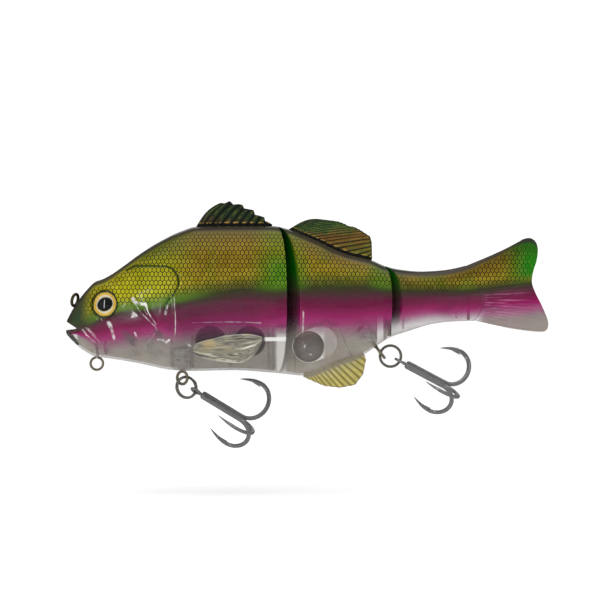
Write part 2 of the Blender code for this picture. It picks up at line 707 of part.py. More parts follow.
def split_ring(name, centre, toward, across):
    """Flat double-coil ring, drawn as one body with a groove round its rim."""
    toward = Vector(toward).normalized()
    across = Vector(across).normalized()
    normal = toward.cross(across).normalized()
    points = wire_loop(centre, toward, across, RING_RADIUS, RING_SEGMENTS)
    return tube(name, points, 0.0, "black_nickel", sides=8, closed=True,
                flat=(normal, RING_HALF_WALL, RING_HALF_WIDTH))


def treble_hook(name, eye, shank, eye_across, spin, size):
    """Three barbed hooks brazed round one shank with a wire eye."""
    eye = Vector(eye)
    shank = Vector(shank).normalized()
    side_way = shank.cross(Vector((0, 1, 0))).normalized()
    body = tube(name, wire_loop(eye, shank, Vector(eye_across).normalized(), HOOK_EYE_RADIUS, 12),
                HOOK_EYE_WIRE, "black_nickel", closed=True)
    bend_start = HOOK_NECK + HOOK_SHANK * size
    neck = cylinder(eye + shank * (HOOK_EYE_RADIUS - 0.1), shank, HOOK_NECK_WIRE, bend_start - 3.0,
                    TUBE_SIDES)
    combine(body, neck, "UNION")
    for k in range(3):
        angle = math.radians(spin + 120 * k)
        out = side_way * math.cos(angle) + Vector((0, 1, 0)) * math.sin(angle)
        flat_points = [(HOOK_NECK, HOOK_BUNDLE), (bend_start, HOOK_BUNDLE)]
        centre_out = HOOK_BUNDLE + HOOK_BEND_RADIUS * size
        for i in range(1, 9):
            sweep = math.radians(-90 + 175 * i / 8)
            flat_points.append((bend_start + HOOK_BEND_LENGTH * size * math.cos(sweep),
                                centre_out + HOOK_BEND_RADIUS * size * math.sin(sweep)))
        last = flat_points[-1]
        point = (HOOK_NECK + HOOK_POINT_ALONG * size, HOOK_POINT_OUT * size)
        for part in (0.3, 0.62, 1.0):
            bow = 0.7 * math.sin(math.pi * part)
            flat_points.append((last[0] + (point[0] - last[0]) * part,
                                last[1] + (point[1] - last[1]) * part + bow))
        points = [eye + shank * a + out * b for a, b in flat_points]
        radii = [HOOK_WIRE] * (len(points) - 2) + [HOOK_WIRE * 0.7, 0.12]
        wire = tube("wire", points, radii, "black_nickel")
        barb_at = points[-2]
        barb_way = (points[-1] - points[-2]).normalized()
        barb = revolve("barb", [(0.55, 0), (0.1, 3.2)],
                       barb_at - out * 0.6 - barb_way * 0.3, barb_way + out * 0.18, 6,
                       "black_nickel")
        combine(wire, barb, "UNION")
        combine(body, wire, "UNION")


def hook_chains():
    """Split ring and treble hook under each swivel."""
    eye = Vector((FRONT_SWIVEL["eye"][0], 0, FRONT_SWIVEL["eye"][1]))
    lay = math.radians(30.0)
    hang = Vector((0.40, 0, -0.917)).normalized()
    level = Vector((-hang.z, 0, hang.x))
    over = level * math.cos(lay) + Vector((0, 1, 0)) * math.sin(lay)
    centre = eye + hang * RING_RADIUS
    split_ring("front_split_ring", centre, hang, over)
    reach = math.radians(48.0)
    hook_eye = centre + (hang * math.cos(reach) + over * math.sin(reach)) * RING_RADIUS
    tangent = -hang * math.sin(reach) + over * math.cos(reach)
    shank = Vector((0.856, 0, -0.517))
    treble_hook("front_treble_hook", hook_eye, shank, tangent.cross(shank), 18.0, 1.06)

    eye = Vector((REAR_SWIVEL["eye"][0], 0, REAR_SWIVEL["eye"][1]))
    hang = Vector((0.945, 0, -0.327))
    over = Vector((0.327, 0, 0.945))
    centre = eye + hang * RING_RADIUS
    split_ring("rear_split_ring", centre, hang, over)
    shank = Vector((0.883, 0, -0.469))
    hook_eye = centre + shank.normalized() * RING_RADIUS
    treble_hook("rear_treble_hook", hook_eye, shank, (0, 1, 0), 20.0, 1.0)


def tail():
    """Tail fin with its tenon, and the pin that keeps it in the rear section."""
    seam = [(x + SPLIT, z) for x, z in SEAM]

    def root_half(x, z):
        return max(flank_y(x, z) - 0.05, TAIL_EDGE_HALF)

    fin = fan_fin("tail_fin", seam, TAIL_TIP, root_half, TAIL_EDGE_HALF, "tinted_fin", columns=14,
                  rows=4, lens=60)
    tenon = box((TENON["x"][0], TENON["x"][1] + 3), (-TENON["y"], TENON["y"]), TENON["z"])
    combine(fin, tenon, "UNION")
    bore = cylinder((TAIL_PIN["x"], 0, -12), (0, 0, 1), TAIL_PIN["radius"] + GAP, 30, 10)
    combine(fin, bore, "DIFFERENCE")
    cylinder((TAIL_PIN["x"], 0, TAIL_PIN["low"]), (0, 0, 1), TAIL_PIN["radius"],
             TAIL_PIN["high"] - TAIL_PIN["low"], 10, "tail_pin", "stainless_wire")


PECTORAL_UPPER = [(46.2, -19.5), (48.8, -16.8), (54.5, -15.2), (61.2, -13.6), (68.1, -13.2),
                  (73.6, -14.2), (74.8, -14.9)]
PECTORAL_LOWER = [(46.2, -19.9), (48.8, -21.9), (53.3, -23.3), (59.0, -24.3), (64.7, -24.7),
                  (70.3, -22.2), (74.8, -15.3)]
PECTORAL_LIFT = 0.3
PECTORAL_THICKNESS = 0.8


def pectoral_fins():
    """Moulded side fins lying close against both flanks."""
    for side, word in ((LEFT, "left"), (RIGHT, "right")):
        rings = []
        for x in spread(47.0, 74.4, 2.8):
            high = smooth_value(PECTORAL_UPPER, x)
            low = smooth_value(PECTORAL_LOWER, x)
            heights = [high + (low - high) * i / 5 for i in range(6)]
            inner = [(x, side * (flank_y(x, z) + PECTORAL_LIFT), z) for z in heights]
            outer = [(x, side * (flank_y(x, z) + PECTORAL_LIFT + PECTORAL_THICKNESS), z)
                     for z in heights]
            rings.append(inner + outer[::-1])
        loft(word + "_pectoral_fin", rings, "clear_plastic")


def main():
    """Build the whole bait."""
    clear_scene()
    body_sections()
    eyes()
    line_ties()
    hinge_parts(HINGE_1, "front_joint_pin", "front_joint_lug_")
    hinge_parts(HINGE_2, "rear_joint_pin", "rear_joint_lug_")
    swivel_parts(FRONT_SWIVEL, "front")
    swivel_parts(REAR_SWIVEL, "rear")
    hook_chains()
    tail()
    pectoral_fins()
    ridge_fin("front_dorsal_fin", FRONT_DORSAL, BACK, 1, "tinted_fin")
    ridge_fin("rear_dorsal_fin", REAR_DORSAL, BACK, 1, "tinted_fin")
    ridge_fin("anal_fin", ANAL, BELLY, -1, "yellow_fin")
    for number, (x, z) in enumerate(BALLAST, 1):
        sphere("ballast_ball_%d" % number, (x, 0, z), BALL_RADIUS, "steel_ball")
    sphere("rattle_ball", (RATTLE[0], 0, RATTLE[1]), BALL_RADIUS, "steel_ball")


main()
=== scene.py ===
"""Looks of the jointed clear swimbait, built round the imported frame.

Shapes are worked out in millimetres and written to the meshes in metres.
"""
import math

import bmesh
import bpy
from mathutils import Matrix, Vector

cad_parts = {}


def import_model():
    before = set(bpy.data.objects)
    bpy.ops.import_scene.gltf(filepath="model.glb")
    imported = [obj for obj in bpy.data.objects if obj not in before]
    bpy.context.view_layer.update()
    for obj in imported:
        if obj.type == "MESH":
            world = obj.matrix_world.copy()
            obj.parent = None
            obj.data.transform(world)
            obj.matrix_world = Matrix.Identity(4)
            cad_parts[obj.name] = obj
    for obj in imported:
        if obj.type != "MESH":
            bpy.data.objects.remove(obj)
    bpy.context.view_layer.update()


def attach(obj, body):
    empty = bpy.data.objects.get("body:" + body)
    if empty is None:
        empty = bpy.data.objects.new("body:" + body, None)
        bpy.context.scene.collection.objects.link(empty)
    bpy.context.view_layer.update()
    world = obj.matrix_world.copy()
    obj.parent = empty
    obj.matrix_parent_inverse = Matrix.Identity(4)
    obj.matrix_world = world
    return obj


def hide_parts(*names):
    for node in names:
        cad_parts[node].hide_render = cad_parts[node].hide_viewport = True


MM = 0.001
LEFT = -1
RIGHT = 1
SIDES = ((LEFT, "left"), (RIGHT, "right"))
ACROSS = Vector((0, 1, 0))

# ---------------------------------------------------------------- body shape, as in the CAD
BACK = [(-3.4, -8.6), (-1.2, -4.3), (2.0, 0.6), (5.5, 4.8), (8.1, 7.2), (11.3, 8.4), (14.5, 10.1),
        (19.8, 13.8), (27.1, 19.1), (35.1, 23.9), (41.9, 27.1), (48.0, 28.9), (58.9, 29.2),
        (78.0, 29.2), (83.7, 28.1), (94.4, 23.9), (107.6, 18.1), (117.1, 15.7), (122.8, 13.3),
        (128.6, 12.0), (136.5, 11.3), (144.4, 11.7), (154.3, 13.6), (162.0, 17.2)]
BELLY = [(-3.4, -12.2), (-1.4, -14.7), (1.5, -18.4), (5.5, -21.1), (8.1, -22.3), (11.3, -22.7),
         (21.9, -24.3), (29.2, -25.8), (37.7, -27.5), (45.7, -28.0), (62.6, -27.7), (81.7, -29.0),
         (90.2, -29.8), (102.0, -25.7), (114.3, -21.3), (120.1, -17.4), (124.8, -14.6),
         (130.7, -12.6), (141.6, -9.4), (149.5, -8.5), (157.5, -8.3), (162.0, -8.9)]
FLANK = [(-3.4, 1.6), (-1.0, 4.0), (3.0, 6.0), (8.0, 7.9), (16.0, 10.3), (28.0, 12.9), (45.0, 14.8),
         (60.0, 15.0), (74.0, 14.2), (84.0, 13.0), (96.0, 11.8), (110.0, 10.2), (124.0, 8.6),
         (138.0, 6.3), (150.0, 4.5), (162.0, 3.0)]
SQUARENESS = 2.35
SPLIT = 0.15
HINGE_1 = dict(x=82.6, nose_radius=2.6, nose_angle=52.0, groove_angle=71.0, low=-28.4, high=28.2,
               lugs=(5.2, -7.2), root=9.6)
HINGE_2 = dict(x=124.2, nose_radius=1.9, nose_angle=46.0, groove_angle=68.0, low=-14.2, high=12.7,
               lugs=(4.0, -5.6), root=7.4)
GROOVE_CLEARANCE = 0.5
SEAM = [(154.4, 13.5), (156.8, 12.2), (159.6, 7.5), (160.8, 2.2), (160.7, -3.2), (159.2, -6.3),
        (157.6, -8.1)]
BALL_RADIUS = 6.2
EYE_POSITION = (12.1, -1.5)
EYE_RADIUS = 5.0
EYE_SINK = 1.1


def smooth_value(points, x):
    """Value at x of a smooth line through the points, flat beyond both ends."""
    if x <= points[0][0]:
        return points[0][1]
    if x >= points[-1][0]:
        return points[-1][1]
    index = max(i for i in range(len(points) - 1) if points[i][0] <= x)

    def slope(i):
        if i == 0 or i == len(points) - 1:
            j = min(max(i, 1), len(points) - 1)
            return (points[j][1] - points[j - 1][1]) / (points[j][0] - points[j - 1][0])
        before = (points[i][1] - points[i - 1][1]) / (points[i][0] - points[i - 1][0])
        after = (points[i + 1][1] - points[i][1]) / (points[i + 1][0] - points[i][0])
        if before * after <= 0:
            return 0.0
        return 2 * before * after / (before + after)

    x0, y0 = points[index]
    x1, y1 = points[index + 1]
    span = x1 - x0
    t = (x - x0) / span
    a = (1 + 2 * t) * (1 - t) ** 2
    b = t * (1 - t) ** 2
    c = t * t * (3 - 2 * t)
    d = t * t * (t - 1)
    return a * y0 + b * span * slope(index) + c * y1 + d * span * slope(index + 1)


def body_section(x, inset=0.0):
    top = smooth_value(BACK, x)
    bottom = smooth_value(BELLY, x)
    half_height = max((top - bottom) / 2 - inset, 0.3)
    half_width = max(smooth_value(FLANK, x) - inset, 0.3)
    return (top + bottom) / 2, half_height, half_width


def flank_y(x, z, inset=0.0):
    centre, half_height, half_width = body_section(x, inset)
    ratio = min(abs(z - centre) / half_height, 1.0)
    return half_width * (1 - ratio ** SQUARENESS) ** (1 / SQUARENESS)


def flank_normal(x, z, side):
    step = 0.5
    along = (flank_y(x + step, z) - flank_y(x - step, z)) / (2 * step)
    up = (flank_y(x, z + step) - flank_y(x, z - step)) / (2 * step)
    return Vector((-along, side, -up)).normalized()


def polyline_distance(x, z, line):
    """Shortest distance from (x, z) to the line through the points."""
    best = 1e9
    for (x0, z0), (x1, z1) in zip(line, line[1:]):
        dx, dz = x1 - x0, z1 - z0
        t = max(0.0, min(1.0, ((x - x0) * dx + (z - z0) * dz) / (dx * dx + dz * dz)))
        best = min(best, math.hypot(x - x0 - t * dx, z - z0 - t * dz))
    return best


# Grooves and ridges of the head: (line, depth, half width).
GILL_EDGE = [(20.8, 11.6), (23.6, 13.2), (29.8, 13.3), (36.6, 13.2), (39.6, 12.0), (41.5, 9.0),
             (41.6, 5.6), (39.8, 2.4), (37.6, 0.0), (36.4, -2.8), (36.0, -5.4)]
GILL_RIDGE = [(39.9, 1.6), (40.2, -4.0), (40.5, -10.0), (39.9, -15.4)]
GILL_RIDGE_BACK = [(40.1, 1.6), (41.2, -5.0), (41.6, -10.0), (41.8, -15.4)]
CHEEK_RIDGE = [(23.0, 0.6), (26.6, -4.6), (33.4, -11.4), (29.2, -17.2)]
CHEEK_UPPER = [(23.4, 1.0), (26.4, -1.6), (28.9, -1.2), (29.6, -4.6), (33.0, -9.8)]
JAW_LINES = [[(3.6, -11.4), (6.4, -14.6), (9.4, -17.6)], [(4.8, -10.8), (7.4, -13.6), (10.4, -16.4)]]
BROW = [(4.4, 2.6), (7.6, 5.4), (12.0, 5.8), (17.0, 3.6), (18.6, -1.0)]
MOUTH = [(-5.0, -9.9), (-1.6, -10.6), (1.2, -11.6)]
RELIEF = [(GILL_EDGE, -0.34, 0.50), (GILL_RIDGE, 0.40, 0.45), (GILL_RIDGE_BACK, 0.30, 0.45),
          (CHEEK_RIDGE, 0.50, 0.50), (CHEEK_UPPER, 0.28, 0.60), (JAW_LINES[0], -0.25, 0.40),
          (JAW_LINES[1], 0.28, 0.45), (BROW, 0.35, 1.2), (MOUTH, -0.9, 0.8)]
# Painted highlights: glint marks on the skin as (line, extra width); BRIGHT_LINES further on lists the
# lines that also get painted glints.
GLINTS = [([(14.0, -8.9), (14.7, -10.2)], 0.6), ([(15.0, -10.4), (16.2, -15.0)], 0.3),
          ([(23.8, 0.8), (25.0, -1.2)], 0.30), ([(25.0, -1.2), (28.8, -1.9)], 0.45),
          ([(28.6, -1.0), (29.3, -3.4)], 0.22), ([(33.6, -15.3), (35.6, -15.7)], 0.35),
          ([(36.6, -16.6), (37.9, -15.6)], 0.30), ([(24.4, -12.8), (25.1, -14.6)], 0.15),
          ([(45.2, -16.8), (46.4, -18.4)], 0.35), ([(91.4, -20.7), (93.2, -21.3)], 0.30),
          ([(90.3, -5.0), (90.0, -19.0)], 0.02)]
SHELF_LINE = [(46.8, -8.7), (60.0, -8.5), (74.0, -8.9)]
BRIGHT_LINES = [CHEEK_RIDGE, CHEEK_UPPER, GILL_RIDGE, JAW_LINES[0], JAW_LINES[1], SHELF_LINE]


def socket_depth(x, y, z, side):
    """How far the skin drops at (x, z) to make room for the eye."""
    base, out = eye_frame(side, -EYE_SINK - 0.45)
    away = Vector((x, side * y, z)) - base
    height = away.dot(out)
    radius = (away - out * height).length
    if radius > EYE_RADIUS + 0.75 or height < 0:
        return 0.0
    amount = min((EYE_RADIUS + 0.75 - radius) / 0.5, 1.0)
    return height * amount / max(abs(out.y), 0.5)


def relief(x, z):
    """How far the head's moulding stands proud of the plain flank at (x, z)."""
    if x > 46:
        return 0.0
    total = 0.0
    for line, depth, width in RELIEF:
        distance = polyline_distance(x, z, line)
        if distance < 3.5 * width:
            total += depth * math.exp(-(distance / width) ** 2)
    gap = polyline_distance(x, z, GILL_EDGE)
    if gap < 5 and x < 41 and z < 13:
        total += 0.25 * math.exp(-gap / 2.0)
    return total


# ---------------------------------------------------------------- mesh helpers
def new_object(name, verts, faces, material, smooth=True, attributes=None):
    mesh = bpy.data.meshes.new(name)
    mesh.from_pydata([tuple(c * MM for c in v) for v in verts], [], faces)
    for key, (kind, values) in (attributes or {}).items():
        layer = mesh.attributes.new(key, kind, "POINT")
        field = "value" if kind == "FLOAT" else "vector"
        flat = values if kind == "FLOAT" else [c for v in values for c in v]
        layer.data.foreach_set(field, flat)
    mesh.validate()
    obj = bpy.data.objects.new(name, mesh)
    bpy.context.collection.objects.link(obj)
    mesh.materials.append(material)
    work = bmesh.new()
    work.from_mesh(mesh)
    bmesh.ops.recalc_face_normals(work, faces=work.faces)
    work.to_mesh(mesh)
    work.free()
    if smooth:
        mesh.shade_smooth()
    return obj


def sharpen(obj, degrees=32.0):
    """Smooth shading that breaks at edges sharper than the angle."""
    mesh = obj.data
    work = bmesh.new()
    work.from_mesh(mesh)
    limit = math.radians(degrees)
    for edge in work.edges:
        if len(edge.link_faces) == 2:
            edge.smooth = edge.calc_face_angle(0.0) < limit
    work.to_mesh(mesh)
    work.free()
    return obj


def bevel(obj, width, segments=3, angle=30.0):
    step = obj.modifiers.new("rounded edges", "BEVEL")
    step.width = width * MM
    step.segments = segments
    step.limit_method = "ANGLE"
    step.angle_limit = math.radians(angle)
    step.harden_normals = False
    return obj


def loft(name, rings, material, smooth=True, caps=True, closed=False, attributes=None):
    count = len(rings[0])
    verts = [tuple(point) for ring in rings for point in ring]
    faces = []
    rows = len(rings)
    for row in range(rows if closed else rows - 1):
        following = (row + 1) % rows
        for i in range(count):
            j = (i + 1) % count
            faces.append((row * count + i, row * count + j, following * count + j,
                          following * count + i))
    if caps and not closed:
        faces.append(tuple(range(count)))
        faces.append(tuple((rows - 1) * count + i for i in range(count)))
    obj = new_object(name, verts, faces, material, smooth, attributes)
    if smooth and caps and not closed:
        sharpen(obj, 40.0)
    return obj


def frame_along(direction):
    return Vector((0, 0, 1)).rotation_difference(Vector(direction)).to_matrix()


def lathe(name, profile, centre, direction, material, sides=40):
    """Turned solid from (radius, height) pairs."""
    turn = frame_along(direction)
    rings = []
    for radius, height in profile:
        ring = []
        for i in range(sides):
            angle = 2 * math.pi * i / sides
            local = Vector((max(radius, 0.01) * math.cos(angle), max(radius, 0.01) * math.sin(angle),
                            height))
            ring.append(turn @ local + Vector(centre))
        rings.append(ring)
    return loft(name, rings, material)


def tube_rings(points, radii, sides, closed=False):
    points = [Vector(p) for p in points]
    count = len(points)
    if not hasattr(radii, "__len__"):
        radii = [radii] * count
    rings = []
    reference = None
    for i, point in enumerate(points):
        before = points[i - 1] if i or closed else points[i]
        after = points[(i + 1) % count] if i < count - 1 or closed else points[i]
        tangent = (after - before).normalized()
        if reference is None:
            helper = Vector((0, 1, 0)) if abs(tangent.y) < 0.9 else Vector((1, 0, 0))
            reference = tangent.cross(helper)
        up = (reference - tangent * reference.dot(tangent)).normalized()
        reference = up
        across = tangent.cross(up).normalized()
        ring = []
        for k in range(sides):
            angle = 2 * math.pi * k / sides
            ring.append(point + (across * math.cos(angle) + up * math.sin(angle)) * radii[i])
        rings.append(ring)
    return rings


def tube(name, points, radii, material, sides=14, closed=False):
    return loft(name, tube_rings(points, radii, sides, closed), material, closed=closed)


def rounded_path(points, steps=8):
    """Smooth path through the points (Catmull-Rom)."""
    points = [Vector(p) for p in points]
    path = []
    for i in range(len(points) - 1):
        p0 = points[max(i - 1, 0)]
        p1 = points[i]
        p2 = points[i + 1]
        p3 = points[min(i + 2, len(points) - 1)]
        for k in range(steps):
            t = k / steps
            path.append(0.5 * ((2 * p1) + (p2 - p0) * t + (2 * p0 - 5 * p1 + 4 * p2 - p3) * t * t
                               + (3 * p1 - p0 - 3 * p2 + p3) * t ** 3))
    path.append(points[-1])
    return path


def join(name, parts):
    """One object from several, named and kept at the origin."""
    base = parts[0]
    mesh = bmesh.new()
    for part in parts:
        mesh.from_mesh(part.data)
    mesh.to_mesh(base.data)
    mesh.free()
    for part in parts[1:]:
        bpy.data.objects.remove(part, do_unlink=True)
    base.name = name
    base.data.name = name
    return base


# ---------------------------------------------------------------- material helpers
def srgb(r, g, b):
    def linear(c):
        c /= 255
        return c / 12.92 if c <= 0.04045 else ((c + 0.055) / 1.055) ** 2.4
    return (linear(r), linear(g), linear(b), 1.0)


class Shade:
    """Short-hand for building a material's node tree."""

    def __init__(self, name):
        self.material = bpy.data.materials.new(name)
        self.material.use_nodes = True
        self.tree = self.material.node_tree
        self.tree.nodes.clear()
        self.out = self.tree.nodes.new("ShaderNodeOutputMaterial")

    def put(self, socket, value):
        if isinstance(value, bpy.types.NodeSocket):
            self.tree.links.new(value, socket)
        elif value is not None:
            socket.default_value = value

    def node(self, kind, inputs=None, **settings):
        made = self.tree.nodes.new(kind)
        for key, value in settings.items():
            setattr(made, key, value)
        for key, value in (inputs or {}).items():
            self.put(made.inputs[key], value)
        return made

    def math(self, operation, a, b=None, c=None, clamp=False):
        made = self.node("ShaderNodeMath", operation=operation, use_clamp=clamp)
        for index, value in enumerate((a, b, c)):
            if value is not None:
                self.put(made.inputs[index], value)
        return made.outputs[0]

    def vector(self, operation, a, b=None, c=None):
        made = self.node("ShaderNodeVectorMath", operation=operation)
        for index, value in enumerate((a, b, c)):
            if value is not None:
                self.put(made.inputs[index], value)
        return made.outputs["Value"] if operation in ("DOT_PRODUCT", "LENGTH") else made.outputs[0]

    def mix(self, factor, a, b, blend="MIX"):
        made = self.node("ShaderNodeMix", data_type="RGBA", blend_type=blend)
        self.put(made.inputs[0], factor)
        self.put(made.inputs[6], a)
        self.put(made.inputs[7], b)
        return made.outputs[2]

    def blend(self, factor, a, b):
        made = self.node("ShaderNodeMix", data_type="FLOAT")
        self.put(made.inputs[0], factor)
        self.put(made.inputs[2], a)
        self.put(made.inputs[3], b)
        return made.outputs[0]

    def ramp(self, factor, stops):
        made = self.node("ShaderNodeValToRGB", {"Fac": factor})
        items = made.color_ramp.elements
        while len(items) < len(stops):
            items.new(0.5)
        for item, (place, colour) in zip(items, stops):
            item.position = place
        for item, (place, colour) in zip(items, stops):
            item.color = colour if hasattr(colour, "__len__") else (colour, colour, colour, 1)
        return made.outputs["Color"]

    def range(self, value, low, high, to_low=0.0, to_high=1.0, smooth=True):
        made = self.node("ShaderNodeMapRange", {"Value": value, "From Min": low, "From Max": high,
                                                "To Min": to_low, "To Max": to_high})
        made.interpolation_type = "SMOOTHSTEP" if smooth else "LINEAR"
        return made.outputs[0]

    def attribute(self, name, output="Fac"):
        return self.node("ShaderNodeAttribute", attribute_name=name).outputs[output]

    def noise(self, coordinates, scale, detail=3.0, rough=0.5, distortion=0.0):
        return self.node("ShaderNodeTexNoise", {"Vector": coordinates, "Scale": scale,
                                                "Detail": detail, "Roughness": rough,
                                                "Distortion": distortion}).outputs["Fac"]

    def position(self):
        """Place on the piece in millimetres."""
        place = self.node("ShaderNodeTexCoord").outputs["Object"]
        return self.scaled(place, 1.0 / MM)

    def scaled(self, vector, factor):
        made = self.node("ShaderNodeVectorMath", operation="SCALE")
        self.put(made.inputs[0], vector)
        made.inputs["Scale"].default_value = factor
        return made.outputs[0]

    def split(self, vector):
        return self.node("ShaderNodeSeparateXYZ", {"Vector": vector}).outputs

    def bump(self, height, distance, strength=1.0, normal=None):
        made = self.node("ShaderNodeBump", {"Height": height, "Distance": distance * MM,
                                            "Strength": strength})
        if normal is not None:
            self.put(made.inputs["Normal"], normal)
        return made.outputs[0]

    def principled(self, **inputs):
        made = self.node("ShaderNodeBsdfPrincipled")
        for key, value in inputs.items():
            self.put(made.inputs[key.replace("_", " ")], value)
        self.tree.links.new(made.outputs[0], self.out.inputs["Surface"])
        return made


SCALE_PITCH = 1.64
SCALE_STRETCH = 1.18
HALF_ROW = 0.8660254
HALF_CELL = (0.5, HALF_ROW, 0.5)
MINUS_HALF = (-0.5, -HALF_ROW, -0.5)
CELL_CORNER = (0.5, HALF_ROW, 0.0)
CELL_NUMBER_STEP = (0.25, HALF_ROW / 2, 1.0)


def hex_cells(shade, flow):
    """Scale net: distance to the cell's edge (0.5 there), oval distance and the cell's own number."""
    place = shade.vector("MULTIPLY", flow, (1.0 / SCALE_PITCH, 1.0 / (SCALE_PITCH * SCALE_STRETCH), 0))
    first = shade.vector("WRAP", place, HALF_CELL, MINUS_HALF)
    moved = shade.vector("SUBTRACT", place, CELL_CORNER)
    second = shade.vector("WRAP", moved, HALF_CELL, MINUS_HALF)
    flat = (1.0, 1.0, 0.0)
    first = shade.vector("MULTIPLY", first, flat)
    second = shade.vector("MULTIPLY", second, flat)
    nearer = shade.math("LESS_THAN", shade.vector("DOT_PRODUCT", second, second),
                        shade.vector("DOT_PRODUCT", first, first))
    chosen = shade.node("ShaderNodeMix", data_type="VECTOR")
    shade.put(chosen.inputs[0], nearer)
    shade.put(chosen.inputs[4], first)
    shade.put(chosen.inputs[5], second)
    offset = chosen.outputs[1]
    size = shade.vector("ABSOLUTE", offset)
    parts = shade.split(size)
    slanted = shade.vector("DOT_PRODUCT", size, CELL_CORNER)
    edge = shade.math("MAXIMUM", parts[0], slanted)
    oval = shade.vector("LENGTH", shade.vector("MULTIPLY", offset, (2.15, 1.72, 0.0)))
    number = shade.vector("SUBTRACT", place, offset)
    snapped = shade.vector("SNAP", shade.vector("ADD", number, (0.1, 0.1, 0.0)), CELL_NUMBER_STEP)
    own = shade.node("ShaderNodeTexWhiteNoise", {"Vector": snapped},
                     noise_dimensions="2D").outputs["Value"]
    return edge, oval, own


def band_stops(entries, low=-30.0, high=30.0):
    return [((z - low) / (high - low), colour) for z, colour in entries]


BODY_COLOURS = [(-30.0, srgb(172, 166, 154)), (-20.0, srgb(166, 158, 148)),
                (-16.5, srgb(158, 144, 142)), (-13.5, srgb(150, 92, 124)),
                (-10.5, srgb(152, 42, 106)), (-7.5, srgb(136, 4, 82)), (-4.8, srgb(110, 2, 60)),
                (-2.2, srgb(92, 24, 54)), (0.0, srgb(68, 46, 46)), (2.6, srgb(50, 54, 30)),
                (5.2, srgb(90, 90, 22)), (8.4, srgb(148, 130, 22)), (14.0, srgb(134, 108, 14)),
                (20.0, srgb(130, 106, 16)), (30.0, srgb(104, 88, 22))]
FACE_COLOURS = [(-30.0, srgb(190, 184, 174)), (-18.0, srgb(164, 158, 154)),
                (-13.5, srgb(104, 78, 92)), (-7.0, srgb(76, 28, 50)), (-1.0, srgb(56, 34, 36)),
                (3.0, srgb(40, 58, 26)), (9.0, srgb(12, 72, 6)), (18.0, srgb(6, 62, 3)),
                (26.0, srgb(10, 34, 6)), (30.0, srgb(14, 20, 12))]


BALLAST_PLACES = ((53.7, -16.2), (69.2, -16.2))


